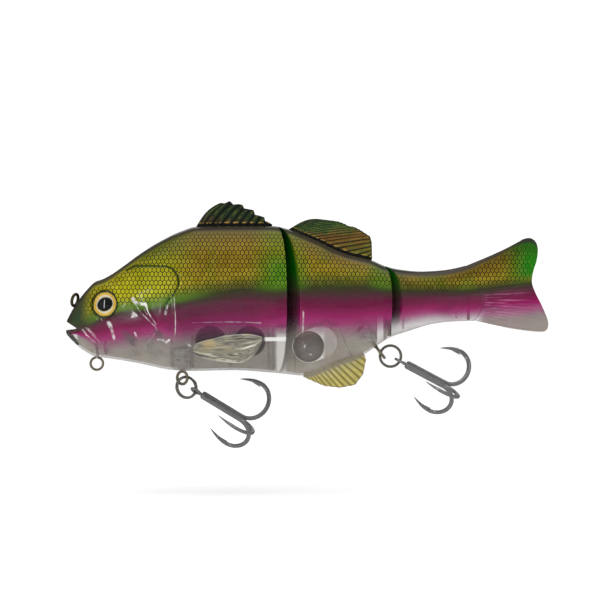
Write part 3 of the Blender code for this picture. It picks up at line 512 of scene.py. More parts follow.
def paint_material(name):
    """Clear plastic sprayed with a magenta band and a gold, green-tinged scale print, with painted
    glints, reflections and shade.
    """
    s = Shade(name)
    flow = s.attribute("flow", "Vector")
    band = s.attribute("band")
    back = s.attribute("back")
    face = s.attribute("face")
    place = s.position()
    axes = s.split(place)
    cloud = s.noise(place, 0.055, 2.0, 0.55)
    fine = s.noise(place, 0.5, 3.0, 0.6)
    shifted = s.math("ADD", band, s.math("MULTIPLY", s.math("SUBTRACT", cloud, 0.5), 4.0))
    shifted = s.math("ADD", shifted, s.math("MULTIPLY", s.math("SUBTRACT", fine, 0.5), 1.0))
    level = s.range(shifted, -30.0, 30.0, smooth=False)
    colour = s.ramp(level, band_stops(BODY_COLOURS))
    # green tinge over the gill cover, beside the joints and on the upper tail lobe
    head = s.range(axes[0], 54.0, 32.0)
    joint_near = s.range(s.math("ABSOLUTE", s.math("SUBTRACT", axes[0], 82.0)), 14.0, 2.0)
    joint_far = s.range(s.math("ABSOLUTE", s.math("SUBTRACT", axes[0], 122.0)), 9.0, 2.0)
    tail = s.range(axes[0], 166.0, 179.0)
    upper = s.range(band, 0.5, 6.0)
    green = s.math("MULTIPLY", head, 0.92)
    green = s.math("MAXIMUM", green, joint_near)
    green = s.math("MAXIMUM", green, s.math("MULTIPLY", joint_far, 0.7))
    patch = s.range(s.noise(place, 0.085, 1.0, 0.4), 0.52, 0.72, 0.0, 0.3)
    green = s.math("MAXIMUM", green, patch)
    green = s.math("MULTIPLY", green, upper)
    lime = s.mix(s.range(axes[0], 58.0, 46.0), srgb(70, 132, 16), srgb(160, 162, 12))
    lime = s.mix(s.range(axes[0], 28.0, 20.0), lime, srgb(186, 180, 14))
    lime = s.mix(s.range(axes[2], 12.0, 20.0), lime, srgb(112, 124, 14))
    snout = s.range(axes[0], 10.0, 2.0)
    lime = s.mix(snout, lime, srgb(40, 62, 50))
    colour = s.mix(green, colour, lime)
    low_green = s.math("MULTIPLY", s.range(band, 8.0, 3.0), s.range(axes[0], 2.0, 8.0))
    low_green = s.math("MULTIPLY", low_green, s.range(axes[0], 60.0, 40.0))
    colour = s.mix(s.math("MULTIPLY", s.math("MULTIPLY", low_green, s.range(band, 0.0, 2.5)), 0.8),
                   colour, s.mix(snout, srgb(76, 116, 34), srgb(32, 60, 44)))
    dusk = s.range(s.noise(place, 0.065, 1.0, 0.4), 0.56, 0.70, 0.0, 0.5)
    dusk = s.math("MULTIPLY", dusk, s.range(axes[0], 44.0, 56.0))
    colour = s.mix(s.math("MULTIPLY", dusk, s.range(band, 4.0, 9.0)), colour, srgb(66, 52, 22))
    colour = s.mix(s.math("MULTIPLY", tail, s.range(band, 3.0, 10.0)), colour, srgb(18, 122, 8))
    mottle = s.noise(s.vector("MULTIPLY", place, (0.10, 0.1, 0.16)), 1.0, 3.0, 0.6, 0.5)
    mottle = s.math("MULTIPLY", s.range(mottle, 0.50, 0.66), s.range(band, -1.0, -5.0))
    colour = s.mix(s.math("MULTIPLY", mottle, 0.35), colour, srgb(84, 10, 54))
    shade = s.math("MULTIPLY", s.range(axes[0], 36.0, 48.0), s.range(axes[0], 80.0, 66.0))
    shade = s.math("MULTIPLY", shade, s.range(band, 0.0, -5.0, 0.0, 0.35))
    colour = s.mix(shade, colour, srgb(40, 10, 30))
    # scale net
    edge, oval, own = hex_cells(s, flow)
    strength = s.math("MULTIPLY", s.range(band, 1.5, 6.0), s.range(back, 2.0, 3.2))
    strength = s.math("MULTIPLY", strength, s.math("SUBTRACT", 1.0, face))
    strength = s.math("MULTIPLY", strength, s.range(axes[0], 1.0, 8.0))
    strength = s.math("MULTIPLY", strength, s.range(axes[0], 184.0, 172.0, 0.3, 1.0))
    inside = s.math("MULTIPLY", s.range(edge, 0.455, 0.36), s.range(oval, 1.10, 0.84))
    ring = s.math("MULTIPLY", s.range(oval, 0.32, 0.52), s.range(oval, 0.88, 0.62))
    gap = s.math("SUBTRACT", 1.0, inside)
    light = s.mix(0.25, s.vector("MULTIPLY", colour, (1.7, 1.6, 1.5)), srgb(196, 180, 80))
    colour = s.mix(s.math("MULTIPLY", strength, s.math("MULTIPLY", ring,
                   s.range(own, 0.0, 1.0, 0.25, 0.85, False))), colour, light)
    colour = s.mix(s.math("MULTIPLY", strength, s.math("MULTIPLY", gap, 0.92)), colour,
                   srgb(26, 22, 2))
    # painted shade: the print darkens towards the top of the back
    colour = s.mix(s.range(back, 9.0, 3.0, 0.0, 0.35), colour, srgb(40, 34, 14))
    # dark back greyed as a painted dull sheen, and the dark faces inside the joint gaps
    colour = s.mix(s.range(back, 3.0, 1.2, 0.0, 0.92), colour, srgb(50, 46, 42))
    colour = s.mix(face, colour, s.ramp(level, band_stops(FACE_COLOURS)))
    # dark gill edge; painted glints along the ridge lines, the glint marks, shell rims and the tail
    # seam
    gill = s.range(s.attribute("gill"), 0.62, 0.22)
    colour = s.mix(s.math("MULTIPLY", gill, s.range(band, -4.0, 2.0, 0.0, 0.9)), colour,
                   srgb(18, 52, 8))
    painted_glint = s.math("MULTIPLY", s.range(s.attribute("bright"), 0.34, 0.10), s.math("MAXIMUM",
                   s.range(band, 3.0, -1.0), s.math("MULTIPLY", s.range(axes[0], 46.0, 43.0),
                   s.range(band, 8.5, 6.0))))
    painted_glint = s.math("MAXIMUM", painted_glint, s.math("MULTIPLY", s.range(axes[0], 153.0, 154.0),
                   s.range(s.attribute("bright"), 0.26, 0.10, 0.0, 0.7)))
    painted_glint = s.math("MULTIPLY", painted_glint, s.range(axes[0], 11.0, 13.0, 0.35, 1.0))
    painted_glint = s.math("MULTIPLY", painted_glint, s.range(s.noise(place, 0.35, 2.0, 0.5), 0.38, 0.58, 0.25, 1.0))
    shelf = s.math("MULTIPLY", s.range(axes[0], 44.0, 48.0), s.range(axes[0], 74.0, 72.0))
    painted_glint = s.math("MULTIPLY", painted_glint, s.math("SUBTRACT", 1.0, s.math("MULTIPLY", shelf, 0.6)))
    colour = s.mix(s.math("MULTIPLY", painted_glint, 0.75), colour, srgb(232, 228, 226))
    thin_tail = s.math("MULTIPLY", s.range(axes[0], 158.0, 164.0), s.range(band, -12.0, -16.0))
    colour = s.mix(s.math("MULTIPLY", thin_tail, 0.55), colour, srgb(120, 108, 100))
    # pink rays on the lower tail lobe
    rays = s.math("ABSOLUTE", s.math("SUBTRACT", s.math("FRACT", s.attribute("ray")), 0.5))
    lobe = s.math("MULTIPLY", s.range(axes[0], 160.5, 163.0), s.range(axes[0], 182.0, 170.0))
    lobe = s.math("MULTIPLY", lobe, s.range(band, 0.0, -3.0))
    lobe = s.math("MULTIPLY", lobe, s.range(band, -17.0, -13.0, 0.35, 1.0))
    uneven = s.noise(s.vector("MULTIPLY", place, (0.12, 0.5, 0.9)), 1.0, 2.0, 0.5)
    colour = s.mix(s.math("MULTIPLY", s.math("MULTIPLY", lobe, s.range(rays, 0.34, 0.20, 0.0, 0.4)),
                          s.range(uneven, 0.40, 0.62)), colour, srgb(206, 120, 164))
    colour = s.mix(s.math("MULTIPLY", s.math("MULTIPLY", lobe, s.range(rays, 0.40, 0.48, 0.0, 0.7)),
                          s.range(uneven, 0.62, 0.44)), colour, srgb(84, 12, 50))
    # darker grey patch with diagonal streaks in the clear cheek
    dark_cheek_patch = s.math("MULTIPLY", s.range(axes[0], 15.0, 24.0), s.range(axes[0], 38.0, 33.0))
    dark_cheek_patch = s.math("MULTIPLY", dark_cheek_patch, s.range(axes[2], -10.0, -14.0))
    dark_cheek_patch = s.math("MULTIPLY", dark_cheek_patch, s.range(axes[2], -24.5, -20.5))
    brushed = s.noise(s.vector("MULTIPLY", s.node("ShaderNodeCombineXYZ", {
        "X": s.math("SUBTRACT", axes[0], axes[2]),
        "Y": s.math("ADD", axes[0], axes[2])}).outputs[0], (0.06, 0.22, 1.0)), 1.0, 2.0, 0.5)
    dark_cheek_patch = s.math("MULTIPLY", dark_cheek_patch, s.range(brushed, 0.36, 0.64))
    colour = s.mix(s.math("MULTIPLY", dark_cheek_patch, 0.85), colour, srgb(78, 76, 76))
    # denser plastic round the rattle chamber, and before the front joint a painted reflection bar and
    # a pale patch of painted highlight
    chamber = s.math("MULTIPLY", s.range(axes[0], 83.5, 86.5), s.range(axes[0], 107.0, 102.0))
    chamber = s.math("MULTIPLY", chamber, s.math("MULTIPLY", s.range(axes[2], -27.5, -23.5),
                                                 s.range(axes[2], -7.0, -11.0)))
    colour = s.mix(s.math("MULTIPLY", chamber, s.range(band, -11.0, -15.0, 0.0, 0.75)), colour,
                   srgb(136, 126, 112))
    # painted highlight: pale patch on the clear skin just before the front joint
    pale = s.math("MULTIPLY", s.range(axes[0], 78.6, 80.2), s.range(axes[0], 83.9, 83.3))
    pale = s.math("MULTIPLY", pale, s.range(axes[2], -10.0, -14.5))
    colour = s.mix(s.math("MULTIPLY", pale, 0.75), colour, srgb(214, 212, 208))
    # painted reflection: a white bar along z -15 before the front joint
    painted_reflection_bar = s.range(s.math("ABSOLUTE", s.math("ADD", axes[2], 15.3)), 1.05, 0.6)
    painted_reflection_bar = s.math("MULTIPLY", painted_reflection_bar, s.math("MULTIPLY", s.range(axes[0], 74.0, 75.6),
                                         s.range(axes[0], 83.9, 83.3)))
    colour = s.mix(s.math("MULTIPLY", painted_reflection_bar, 0.9), colour, srgb(246, 245, 242))
    # painted shade: dark discs on the skin over the two ballast balls
    painted_ball_shade = None
    for x, z in BALLAST_PLACES:
        aside = s.vector("SUBTRACT", place, (x, 0.0, z))
        ring = s.range(s.vector("LENGTH", s.vector("MULTIPLY", aside, (1.0, 0.0, 1.0))), 6.6, 5.6)
        painted_ball_shade = ring if painted_ball_shade is None else s.math("MAXIMUM", painted_ball_shade, ring)
    painted_ball_shade = s.math("MULTIPLY", painted_ball_shade, s.range(band, -5.0, -9.0))
    colour = s.mix(s.math("MULTIPLY", painted_ball_shade, 0.45), colour, srgb(44, 28, 40))
    # how much shows through
    streak = s.noise(s.vector("MULTIPLY", place, (0.10, 0.3, 0.55)), 1.0, 4.0, 0.6, 0.4)
    clearness = s.range(shifted, -17.0, -7.5, 0.30, 0.93)
    cover = s.math("ADD", clearness, s.math("MULTIPLY", s.math("SUBTRACT", streak, 0.5), 0.18))
    cover = s.math("MAXIMUM", cover, s.range(axes[0], 156.0, 163.0, 0.0, 0.80))
    cover = s.math("MAXIMUM", cover, s.range(band, -5.0, 0.0, 0.0, 0.99))
    cover = s.math("MAXIMUM", cover, s.math("MULTIPLY", painted_glint, 0.9))
    cover = s.math("MAXIMUM", cover, s.math("MULTIPLY", dark_cheek_patch, 0.8))
    cover = s.math("MAXIMUM", cover, s.math("MULTIPLY", chamber,
                   s.range(axes[0], 97.6, 99.2, 0.32, 0.62)))
    cover = s.math("MAXIMUM", cover, s.math("MULTIPLY", s.math("MAXIMUM", pale, painted_reflection_bar), 0.8))
    rim_view = s.node("ShaderNodeLayerWeight", {"Blend": 0.35}).outputs["Facing"]
    cover = s.math("ADD", cover, s.math("MULTIPLY", s.math("POWER", rim_view, 2.0), 0.6),
                   clamp=True)
    foil = s.math("MULTIPLY", s.math("MULTIPLY", strength, inside), 0.35)
    rough = s.blend(strength, 0.20, s.range(own, 0.0, 1.0, 0.28, 0.45))
    height = s.math("MULTIPLY", inside, strength)
    height = s.math("ADD", height, s.math("MULTIPLY", own, s.math("MULTIPLY", strength, 0.3)))
    wavy = s.noise(s.vector("MULTIPLY", place, (0.18, 0.18, 0.4)), 1.0, 2.0, 0.5)
    normal = s.bump(wavy, 0.4, 0.25)
    normal = s.bump(height, 0.10, 0.5, normal)
    made = s.principled(Base_Color=colour, Metallic=foil, Roughness=rough, Alpha=cover,
                        Normal=normal)
    s.put(made.inputs["Coat Weight"], s.range(band, 6.0, -2.0, 0.14, 1.0))
    made.inputs["Coat Roughness"].default_value = 0.04
    made.inputs["Coat IOR"].default_value = 1.45
    made.inputs["Specular IOR Level"].default_value = 0.2
    return s.material


def clear_material(name, colour, cover, edge_cover=0.75, rough=0.08, coat=1.0, patchy=0.55):
    """Clear moulded plastic: mostly see-through face on, denser toward its edges."""
    s = Shade(name)
    place = s.position()
    flecks = s.noise(s.vector("MULTIPLY", place, (0.25, 0.25, 0.8)), 1.0, 4.0, 0.65, 0.5)
    facing = s.node("ShaderNodeLayerWeight", {"Blend": 0.4}).outputs["Facing"]
    amount = s.math("ADD", s.blend(s.math("POWER", facing, 1.6), cover, edge_cover),
                    s.math("MULTIPLY", s.math("SUBTRACT", flecks, 0.5), 0.3), clamp=True)
    dark = tuple(c * (1 - patchy) for c in colour[:3]) + (1,)
    tint = s.mix(s.range(flecks, 0.3, 0.75), dark, colour)
    normal = s.bump(flecks, 0.3, 0.3)
    made = s.principled(Base_Color=tint, Roughness=rough, Alpha=amount, Normal=normal)
    made.inputs["Coat Weight"].default_value = coat
    made.inputs["Coat Roughness"].default_value = 0.03
    return s.material


def metal_material(name, dark, light, rough_low, rough_high, grain=(2.0, 2.0, 0.3), painted_reflection=0.0):
    """Drawn wire: metal with fine lengthwise marks, small stains and uneven gloss."""
    s = Shade(name)
    place = s.position()
    marks = s.noise(s.vector("MULTIPLY", place, grain), 3.0, 5.0, 0.7)
    stain = s.noise(place, 0.6, 3.0, 0.55)
    colour = s.mix(s.range(marks, 0.3, 0.7), dark, light)
    colour = s.mix(s.range(stain, 0.55, 0.8, 0.0, 0.4), colour,
                   tuple(c * 0.5 for c in dark[:3]) + (1,))
    # painted reflection: a ball's colour darkens toward its middle plane, lighter toward its sides
    if painted_reflection:
        painted_reflection_dark = s.range(s.math("ABSOLUTE", s.split(place)[1]), 5.6, 1.5, 0.0, painted_reflection)
        colour = s.mix(painted_reflection_dark, colour, tuple(c * 0.25 for c in dark[:3]) + (1,))
    rough = s.range(marks, 0.25, 0.75, rough_low, rough_high)
    normal = s.bump(marks, 0.03, 0.5)
    s.principled(Base_Color=colour, Metallic=0.62, Roughness=rough, Normal=normal)
    return s.material


def fin_material(name, tones, line_colour, base_colour, cover, glow=0.35):
    """Tinted, rayed fin: the tone runs through the colours, with dark lines between the rays."""
    s = Shade(name)
    across = s.attribute("ray")
    reach = s.attribute("reach")
    tone = s.attribute("tone")
    place = s.position()
    cloud = s.noise(place, 0.25, 3.0, 0.6)
    fleck = s.noise(s.node("ShaderNodeCombineXYZ", {"X": s.math("MULTIPLY", across, 3.0),
                    "Y": s.math("MULTIPLY", reach, 5.0)}).outputs[0], 1.0, 3.0, 0.65)
    along = s.math("ADD", tone, s.math("MULTIPLY", s.math("SUBTRACT", cloud, 0.5), 0.55))
    colour = s.ramp(along, tones)
    line = s.math("ABSOLUTE", s.math("SUBTRACT", s.math("FRACT", across), 0.5))
    dark = s.range(line, 0.27, 0.43)
    # painted glints: pale streaks along the middle of each ray
    glint = s.math("MULTIPLY", s.range(line, 0.20, 0.06), s.range(fleck, 0.40, 0.62))
    colour = s.mix(s.math("MULTIPLY", glint, glow), colour,
                   s.mix(0.4, s.vector("MULTIPLY", colour, (2.2, 2.0, 1.8)), srgb(214, 186, 96)))
    colour = s.mix(s.math("MULTIPLY", dark, 0.85), colour, line_colour)
    rise = s.attribute("rise")
    # gold dashes near the foot of the rays, painted as glints
    dash = s.math("MULTIPLY", s.range(rise, 1.05, 1.25), s.range(rise, 1.75, 1.5))
    dash = s.math("MULTIPLY", dash, s.range(line, 0.36, 0.26))
    dash = s.math("MULTIPLY", dash, s.range(fleck, 0.46, 0.54))
    colour = s.mix(s.math("MULTIPLY", dash, 0.8), colour, srgb(196, 156, 60))
    foot = s.range(rise, 1.25, 0.95)
    colour = s.mix(foot, colour, base_colour)
    colour = s.mix(s.range(reach, 0.955, 0.99, 0.0, 0.8), colour, line_colour)
    amount = s.blend(dark, cover, min(cover + 0.15, 1.0))
    amount = s.math("ADD", amount, s.math("MULTIPLY", s.math("SUBTRACT", fleck, 0.5), 0.25),
                    clamp=True)
    height = s.math("ADD", line, s.math("MULTIPLY", fleck, 0.4))
    made = s.principled(Base_Color=colour, Roughness=s.range(fleck, 0.3, 0.7, 0.24, 0.42),
                        Alpha=amount, Normal=s.bump(height, 0.2, 0.5))
    made.inputs["Coat Weight"].default_value = 0.45
    made.inputs["Coat Roughness"].default_value = 0.08
    made.inputs["Specular IOR Level"].default_value = 0.2
    return s.material


# ---------------------------------------------------------------- shell skins
ROWS = 110


def plan_line(hinge, radius, angle):
    """Plan of a hinge face for y at or above 0: x as a function of y."""
    way = math.radians(angle)
    start_y = radius * math.cos(way)
    start_x = -radius * math.sin(way)

    def x_at(y):
        if y <= start_y:
            return hinge["x"] - math.sqrt(max(radius * radius - y * y, 0.0))
        return hinge["x"] + start_x + (y - start_y) / math.tan(way)
    return x_at


def row_point(x, t):
    """Height and outward distance of section row t (0 at the back, 1 at the belly)."""
    centre, half_height, half_width = body_section(x)
    angle = math.pi * (0.5 - t)
    rise = math.copysign(abs(math.sin(angle)) ** (2 / SQUARENESS), math.sin(angle))
    out = max(abs(math.cos(angle)), 0.0) ** (2 / SQUARENESS) if 0 < t < 1 else 0.0
    return centre + half_height * rise, SPLIT + max(half_width - SPLIT, 0.1) * out


def rim_at(line, t, low, high):
    """Where row t of the flank meets a hinge face."""
    for _ in range(40):
        middle = (low + high) / 2
        _, y = row_point(middle, t)
        if middle < line(y):
            low = middle
        else:
            high = middle
    return (low + high) / 2


BAND_TOP = [(-4.0, -13.5), (2.6, -12.0), (9.0, -9.2), (12.5, -7.4), (20.0, -5.5), (30.0, -4.6),
            (41.0, -2.3), (53.0, -0.2), (69.0, 1.2), (80.0, 1.5), (100.0, 2.2), (115.0, 2.6),
            (124.0, 2.2), (140.0, 1.9), (152.0, 2.3), (172.0, 4.3), (183.0, 5.0)]
BAND_LOW = [(-4.0, -14.2), (0.0, -13.6), (4.0, -15.8), (10.0, -19.4), (20.0, -18.6),
            (30.0, -16.8), (41.0, -16.4), (53.0, -15.2),
            (69.0, -14.6), (80.0, -14.0), (100.0, -14.0), (115.0, -12.6), (124.0, -11.0),
            (140.0, -8.2), (152.0, -7.8), (172.0, -6.8), (183.0, -5.4)]


def band_height(x, z):
    """Height in the paint bands: 0 where the magenta starts, -15 where the clear belly starts."""
    top = smooth_value(BAND_TOP, x)
    if z >= top:
        return (z - top) * (1 + 0.7 * min(max((x - 116.0) / 20.0, 0.0), 1.0))
    return -15.0 * (top - z) / (top - smooth_value(BAND_LOW, x))


def mouth_edge(z):
    """How far back the open mouth reaches at this height."""
    if z > -11.3:
        return -3.4 + 4.7 * max(0.0, min(1.0, (-8.4 - z) / 2.9))
    return -3.4 + 4.7 * max(0.0, 1.0 - (-11.3 - z) / 0.55)


def shell_skin(name, side, start, end, columns, material, x_low, x_high):
    """Outer skin of one shell half: front face, flank and rear face as one surface."""
    verts = []
    flow = []
    band = []
    back = []
    face = []
    gill = []
    bright = []
    lines = []
    for r in range(ROWS + 1):
        t = r / ROWS
        t = 0.5 - 0.175 * math.cos(math.pi * t) - (0.5 - t) * 0.65
        t = min(max(t, 0.0), 1.0)
        row = []
        x0 = x_low if start is None else rim_at(start, t, x_low, x_high)
        x1 = x_high if end is None else rim_at(end, t, x_low, x_high)
        if end is seam_line:
            x1 = seam_rim(t)
        if start is not None:
            _, y_rim = row_point(x0, t)
            for k in range(7):
                y = y_rim * k / 7
                x = start(y)
                z, _ = row_point(x, t)
                row.append((x, max(y, 0.0), z, 1.0))
        if start is None:
            z, _ = row_point(x0, t)
            row.append((max(x0, mouth_edge(z)), 0.0, z, 0.0))
        for k in range(columns + 1):
            u = k / columns
            if start is None:
                u = u * (0.42 + 0.58 * u)
            x = x0 + (x1 - x0) * u
            z, y = row_point(x, t)
            if start is None and x < 1.6:
                x = max(x, mouth_edge(z))
            if 0.02 < t < 0.98:
                fade = min(y / 1.5, 1.0)
                y += relief(x, z) * fade
                if x < 19:
                    y -= socket_depth(x, y, z, side)
            row.append((x, max(y, 0.01), z, 0.0))
        if end is not None:
            _, y_rim = row_point(x1, t)
            for k in range(1, 8):
                y = y_rim * (1 - k / 7)
                x = end(y) if end is not seam_line else x1
                z, _ = row_point(min(max(x, x_low), x_high), t)
                row.append((x, max(y, 0.0), z, 1.0))
        lines.append(row)
    wide = len(lines[0])
    for row in lines:
        for x, y, z, inner in row:
            top = smooth_value(BACK, x)
            verts.append((x, side * y, z))
            flow.append((x, z + 0.18 * max(z - (top - 6.0), 0.0), 0.0))
            band.append(band_height(x, z))
            back.append(top - z)
            face.append(inner)
            gill.append(polyline_distance(x, z, GILL_EDGE) if x < 46 else 9.0)
            # distance to the painted glints: ridge and shelf lines, glint marks, a shell's front rim
            # and the tail seam
            near = min(polyline_distance(x, z, line) for line in BRIGHT_LINES) if x < 80 else 9.0
            if x < 96:
                near = min([near] + [max(polyline_distance(x, z, line) - wide_by, 0.0)
                                     for line, wide_by in GLINTS])
            if start is not None and not inner:
                near = min(near, abs(x - row[7][0] - 0.3))
            if x > 150:
                near = min(near, abs(x - seam_x(z) + 0.3))
            bright.append(near)
    faces = []
    for r in range(len(lines) - 1):
        for c in range(wide - 1):
            a = r * wide + c
            faces.append((a, a + 1, a + 1 + wide, a + wide))
    obj = new_object(name, verts, faces, material, True, {
        "flow": ("FLOAT_VECTOR", flow), "band": ("FLOAT", band), "back": ("FLOAT", back),
        "face": ("FLOAT", face), "gill": ("FLOAT", gill), "bright": ("FLOAT", bright)})
    return sharpen(obj, 34.0)


def seam_line(y):
    return 160.0


def seam_rim(t):
    """Where row t of the rear shell ends at the tail seam."""
    x = 158.0
    for _ in range(12):
        z, _ = row_point(x, t)
        x = seam_x(z) - 0.03
    return x


def seam_x(z):
    points = SEAM[::-1]
    z = min(max(z, points[0][1]), points[-1][1])
    return smooth_value([(b, a) for a, b in points], z)


def main_shells(paint):
    """The six skins, each riding on its own section."""
    groove_1, groove_2 = [plan_line(hinge, hinge["nose_radius"] + GROOVE_CLEARANCE,
                                    hinge["groove_angle"]) for hinge in (HINGE_1, HINGE_2)]
    nose_1, nose_2 = [plan_line(hinge, hinge["nose_radius"], hinge["nose_angle"])
                      for hinge in (HINGE_1, HINGE_2)]
    sections = (("front", None, groove_1, 190, -3.35, 95.0),
                ("middle", nose_1, groove_2, 54, 79.0, 135.0),
                ("rear", nose_2, seam_line, 44, 121.5, 162.0))
    for side, word in SIDES:
        for section, start, end, columns, x_low, x_high in sections:
            skin = shell_skin("%s_skin_%s" % (section, word), side, start, end, columns, paint,
                              x_low, x_high)
            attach(skin, section + "_section")
            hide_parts("%s_shell_%s" % (section, word))


# ---------------------------------------------------------------- inside of the shells
def plate_across(name, x0, x1, z_at, thickness, inset, material, body, steps=12):
    """Level plate reaching across the inside of the body, its edge following both flanks."""
    rings = []
    for i in range(steps + 1):
        x = x0 + (x1 - x0) * i / steps
        z = z_at
        y = max(flank_y(x, z, inset), 0.6)
        rings.append([(x, -y, z - thickness / 2), (x, y, z - thickness / 2),
                      (x, y, z + thickness / 2), (x, -y, z + thickness / 2)])
    obj = loft(name, rings, material, smooth=False)
    bevel(obj, thickness * 0.3, 2)
    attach(obj, body)
    return obj


def bulkhead(name, x, thickness, z_low, z_high, inset, material, body, lean=0.0, widest=99.0):
    """Upright wall across the inside of the body, hollowed into a frame."""
    outer = []
    steps = 16
    for i in range(steps + 1):
        z = z_high + (z_low - z_high) * i / steps
        outer.append((min(max(flank_y(x, z, inset), 0.8), widest), z))
    rim = [(-y, z) for y, z in outer] + [(y, z) for y, z in outer[::-1]]
    middle = (z_low + z_high) / 2
    inner = [(y * 0.55, middle + (z - middle) * 0.72) for y, z in rim]
    rings = []
    for dx, loop in ((0, rim), (thickness, rim), (thickness, inner), (0, inner)):
        rings.append([(x + dx + lean * (z - middle), y, z) for y, z in loop])
    obj = loft(name, rings, material, smooth=False, closed=True)
    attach(obj, body)
    return obj


def block(name, centre, size, material, body, turn=0.0, round_by=0.5):
    """Rounded block, turned about the Y axis."""
    half = [s / 2 for s in size]
    rotate = Matrix.Rotation(-turn, 3, "Y")
    rings = []
    for x in (-half[0], half[0]):
        ring = []
        for y, z in ((-half[1], -half[2]), (half[1], -half[2]), (half[1], half[2]),
                     (-half[1], half[2])):
            ring.append(tuple(rotate @ Vector((x, y, z)) + Vector(centre)))
        rings.append(ring)
    obj = loft(name, rings, material, smooth=True)
    bevel(obj, round_by, 4)
    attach(obj, body)
    return obj


def ball(name, centre, material, body, node):
    """Polished ball with a faint grinding band round its middle."""
    profile = []
    steps = 30
    for i in range(steps + 1):
        angle = math.pi * (i / steps - 0.5)
        radius = BALL_RADIUS * (1 - 0.004 * math.exp(-((i - steps / 2) / 1.2) ** 2))
        profile.append((radius * math.cos(angle), radius * math.sin(angle)))
    obj = lathe(name, profile, centre, (0.3, 0, 1), material, 56)
    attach(obj, body)
    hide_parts(node)
    return obj


WEB_HALF = 0.12


def web(name, top, bottom_line, x0, x1, material, body, steps):
    """Thin wall on the middle plane from a level top down to the belly."""
    rings = []
    for i in range(steps + 1):
        x = x0 + (x1 - x0) * i / steps
        high = top
        low = bottom_line(x)
        rings.append([(x, -WEB_HALF, low), (x, WEB_HALF, low), (x, WEB_HALF, high),
                      (x, -WEB_HALF, high)])
    obj = loft(name, rings, material, smooth=False)
    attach(obj, body)
    return obj


RATTLE_WAY = (0.943223, 0.332161)
RATTLE_START = Vector((92.3, 0, -18.4))
RATTLE_END = RATTLE_START + Vector((RATTLE_WAY[0], 0, RATTLE_WAY[1])) * 5.0
CHAMBER_RADIUS = BALL_RADIUS + 0.15
CHAMBER_FRONT = 85.2
CHAMBER_REAR = 103.9
CHAMBER_TOP = -4.0


def chamber_web(name, bottom_line, material):
    """Middle wall of the second section, open along the path of the loose ball."""
    centre = (RATTLE_START + RATTLE_END) / 2
    run = RATTLE_END - RATTLE_START
    steps = 120
    rings = []
    for i in range(steps):
        angle = 2 * math.pi * i / steps
        way = Vector((math.cos(angle), 0, math.sin(angle)))
        reach = 5.0
        inner = None
        while reach < 30.0:
            spot = centre + way * reach
            t = max(0.0, min(1.0, (spot - RATTLE_START).dot(run) / run.length_squared))
            if inner is None and (spot - RATTLE_START - run * t).length >= CHAMBER_RADIUS:
                inner = spot.copy()
            outside = not (CHAMBER_FRONT <= spot.x <= CHAMBER_REAR
                           and bottom_line(spot.x) <= spot.z <= CHAMBER_TOP)
            if inner is not None and outside:
                break
            reach += 0.05
        rings.append([(inner.x, -WEB_HALF, inner.z), (inner.x, WEB_HALF, inner.z),
                      (spot.x, WEB_HALF, spot.z), (spot.x, -WEB_HALF, spot.z)])
    obj = loft(name, rings, material, smooth=False, closed=True)
    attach(obj, "middle_section")
    return obj


def insides(clear, pink, steel, bright_steel, grey, haze):
    def floor_line(x):
        return smooth_value(BELLY, x) + 0.9

    web("front_middle_web", -7.6, floor_line, 1.0, 79.6, haze, "front_section", 40)
    web("middle_nose_web", -8.7, floor_line, 80.2, CHAMBER_FRONT, haze, "middle_section", 6)
    chamber_web("middle_chamber_web", floor_line, haze)
    web("middle_rear_web", CHAMBER_TOP, floor_line, CHAMBER_REAR, 119.4, haze, "middle_section", 12)
    plate_across("front_shelf_upper", 46.4, 74.2, -8.0, 0.5, 1.2, pink, "front_section")
    plate_across("front_shelf_lower", 46.4, 74.2, -9.3, 0.5, 1.2, pink, "front_section")
    plate_across("cheek_floor", 24.0, 37.6, -8.6, 0.7, 1.6, clear, "front_section", 6)
    bulkhead("chin_wall", 12.0, 0.8, -21.5, -12.0, 1.0, pink, "front_section", lean=0.05)
    bulkhead("gill_wall", 38.0, 0.9, -26.4, 6.0, 1.0, clear, "front_section")
    bulkhead("pocket_wall_front", 46.4, 0.7, -26.6, -9.6, 1.0, clear, "front_section")
    bulkhead("pocket_wall_middle", 61.2, 0.7, -26.4, -9.6, 1.0, clear, "front_section")
    bulkhead("joint_wall_inner", 76.2, 0.7, -27.2, 8.0, 1.0, clear, "front_section")
    bulkhead("joint_wall_outer", 78.0, 0.6, -27.4, 8.0, 1.2, clear, "front_section")
    bulkhead("middle_nose_wall", 86.6, 0.6, -27.6, 20.0, 1.2, clear, "middle_section",
             widest=8.6)
    bulkhead("middle_pocket_wall", 104.6, 0.7, -22.4, -3.0, 1.0, clear, "middle_section", lean=-0.45)
    bulkhead("rear_joint_wall", 118.6, 0.6, -15.6, 12.0, 1.0, clear, "middle_section")
    bulkhead("rear_nose_wall", 129.4, 0.5, -11.4, 9.6, 0.9, clear, "rear_section")
    bulkhead("tail_socket_wall", 150.4, 0.5, -7.4, 9.6, 0.9, clear, "rear_section")
    block("front_swivel_boss", (42.4, 0, -23.2), (6.6, 7.0, 8.6), grey, "front_section")
    block("rear_swivel_boss", (115.3, 0, -13.9), (6.8, 6.4, 5.2), grey, "middle_section",
          math.radians(-52.4))
    for number, (x, z) in enumerate(BALLAST_PLACES, 1):
        ball("ballast_ball_%d_polished" % number, (x, 0, z), steel, "front_section",
             "ballast_ball_%d" % number)
    ball("rattle_ball_polished", (92.3, 0, -18.4), bright_steel, "rattle", "rattle_ball")


LUG_RADIUS = 2.05
LUG_BORE = 1.18
LUG_HALF = 0.85


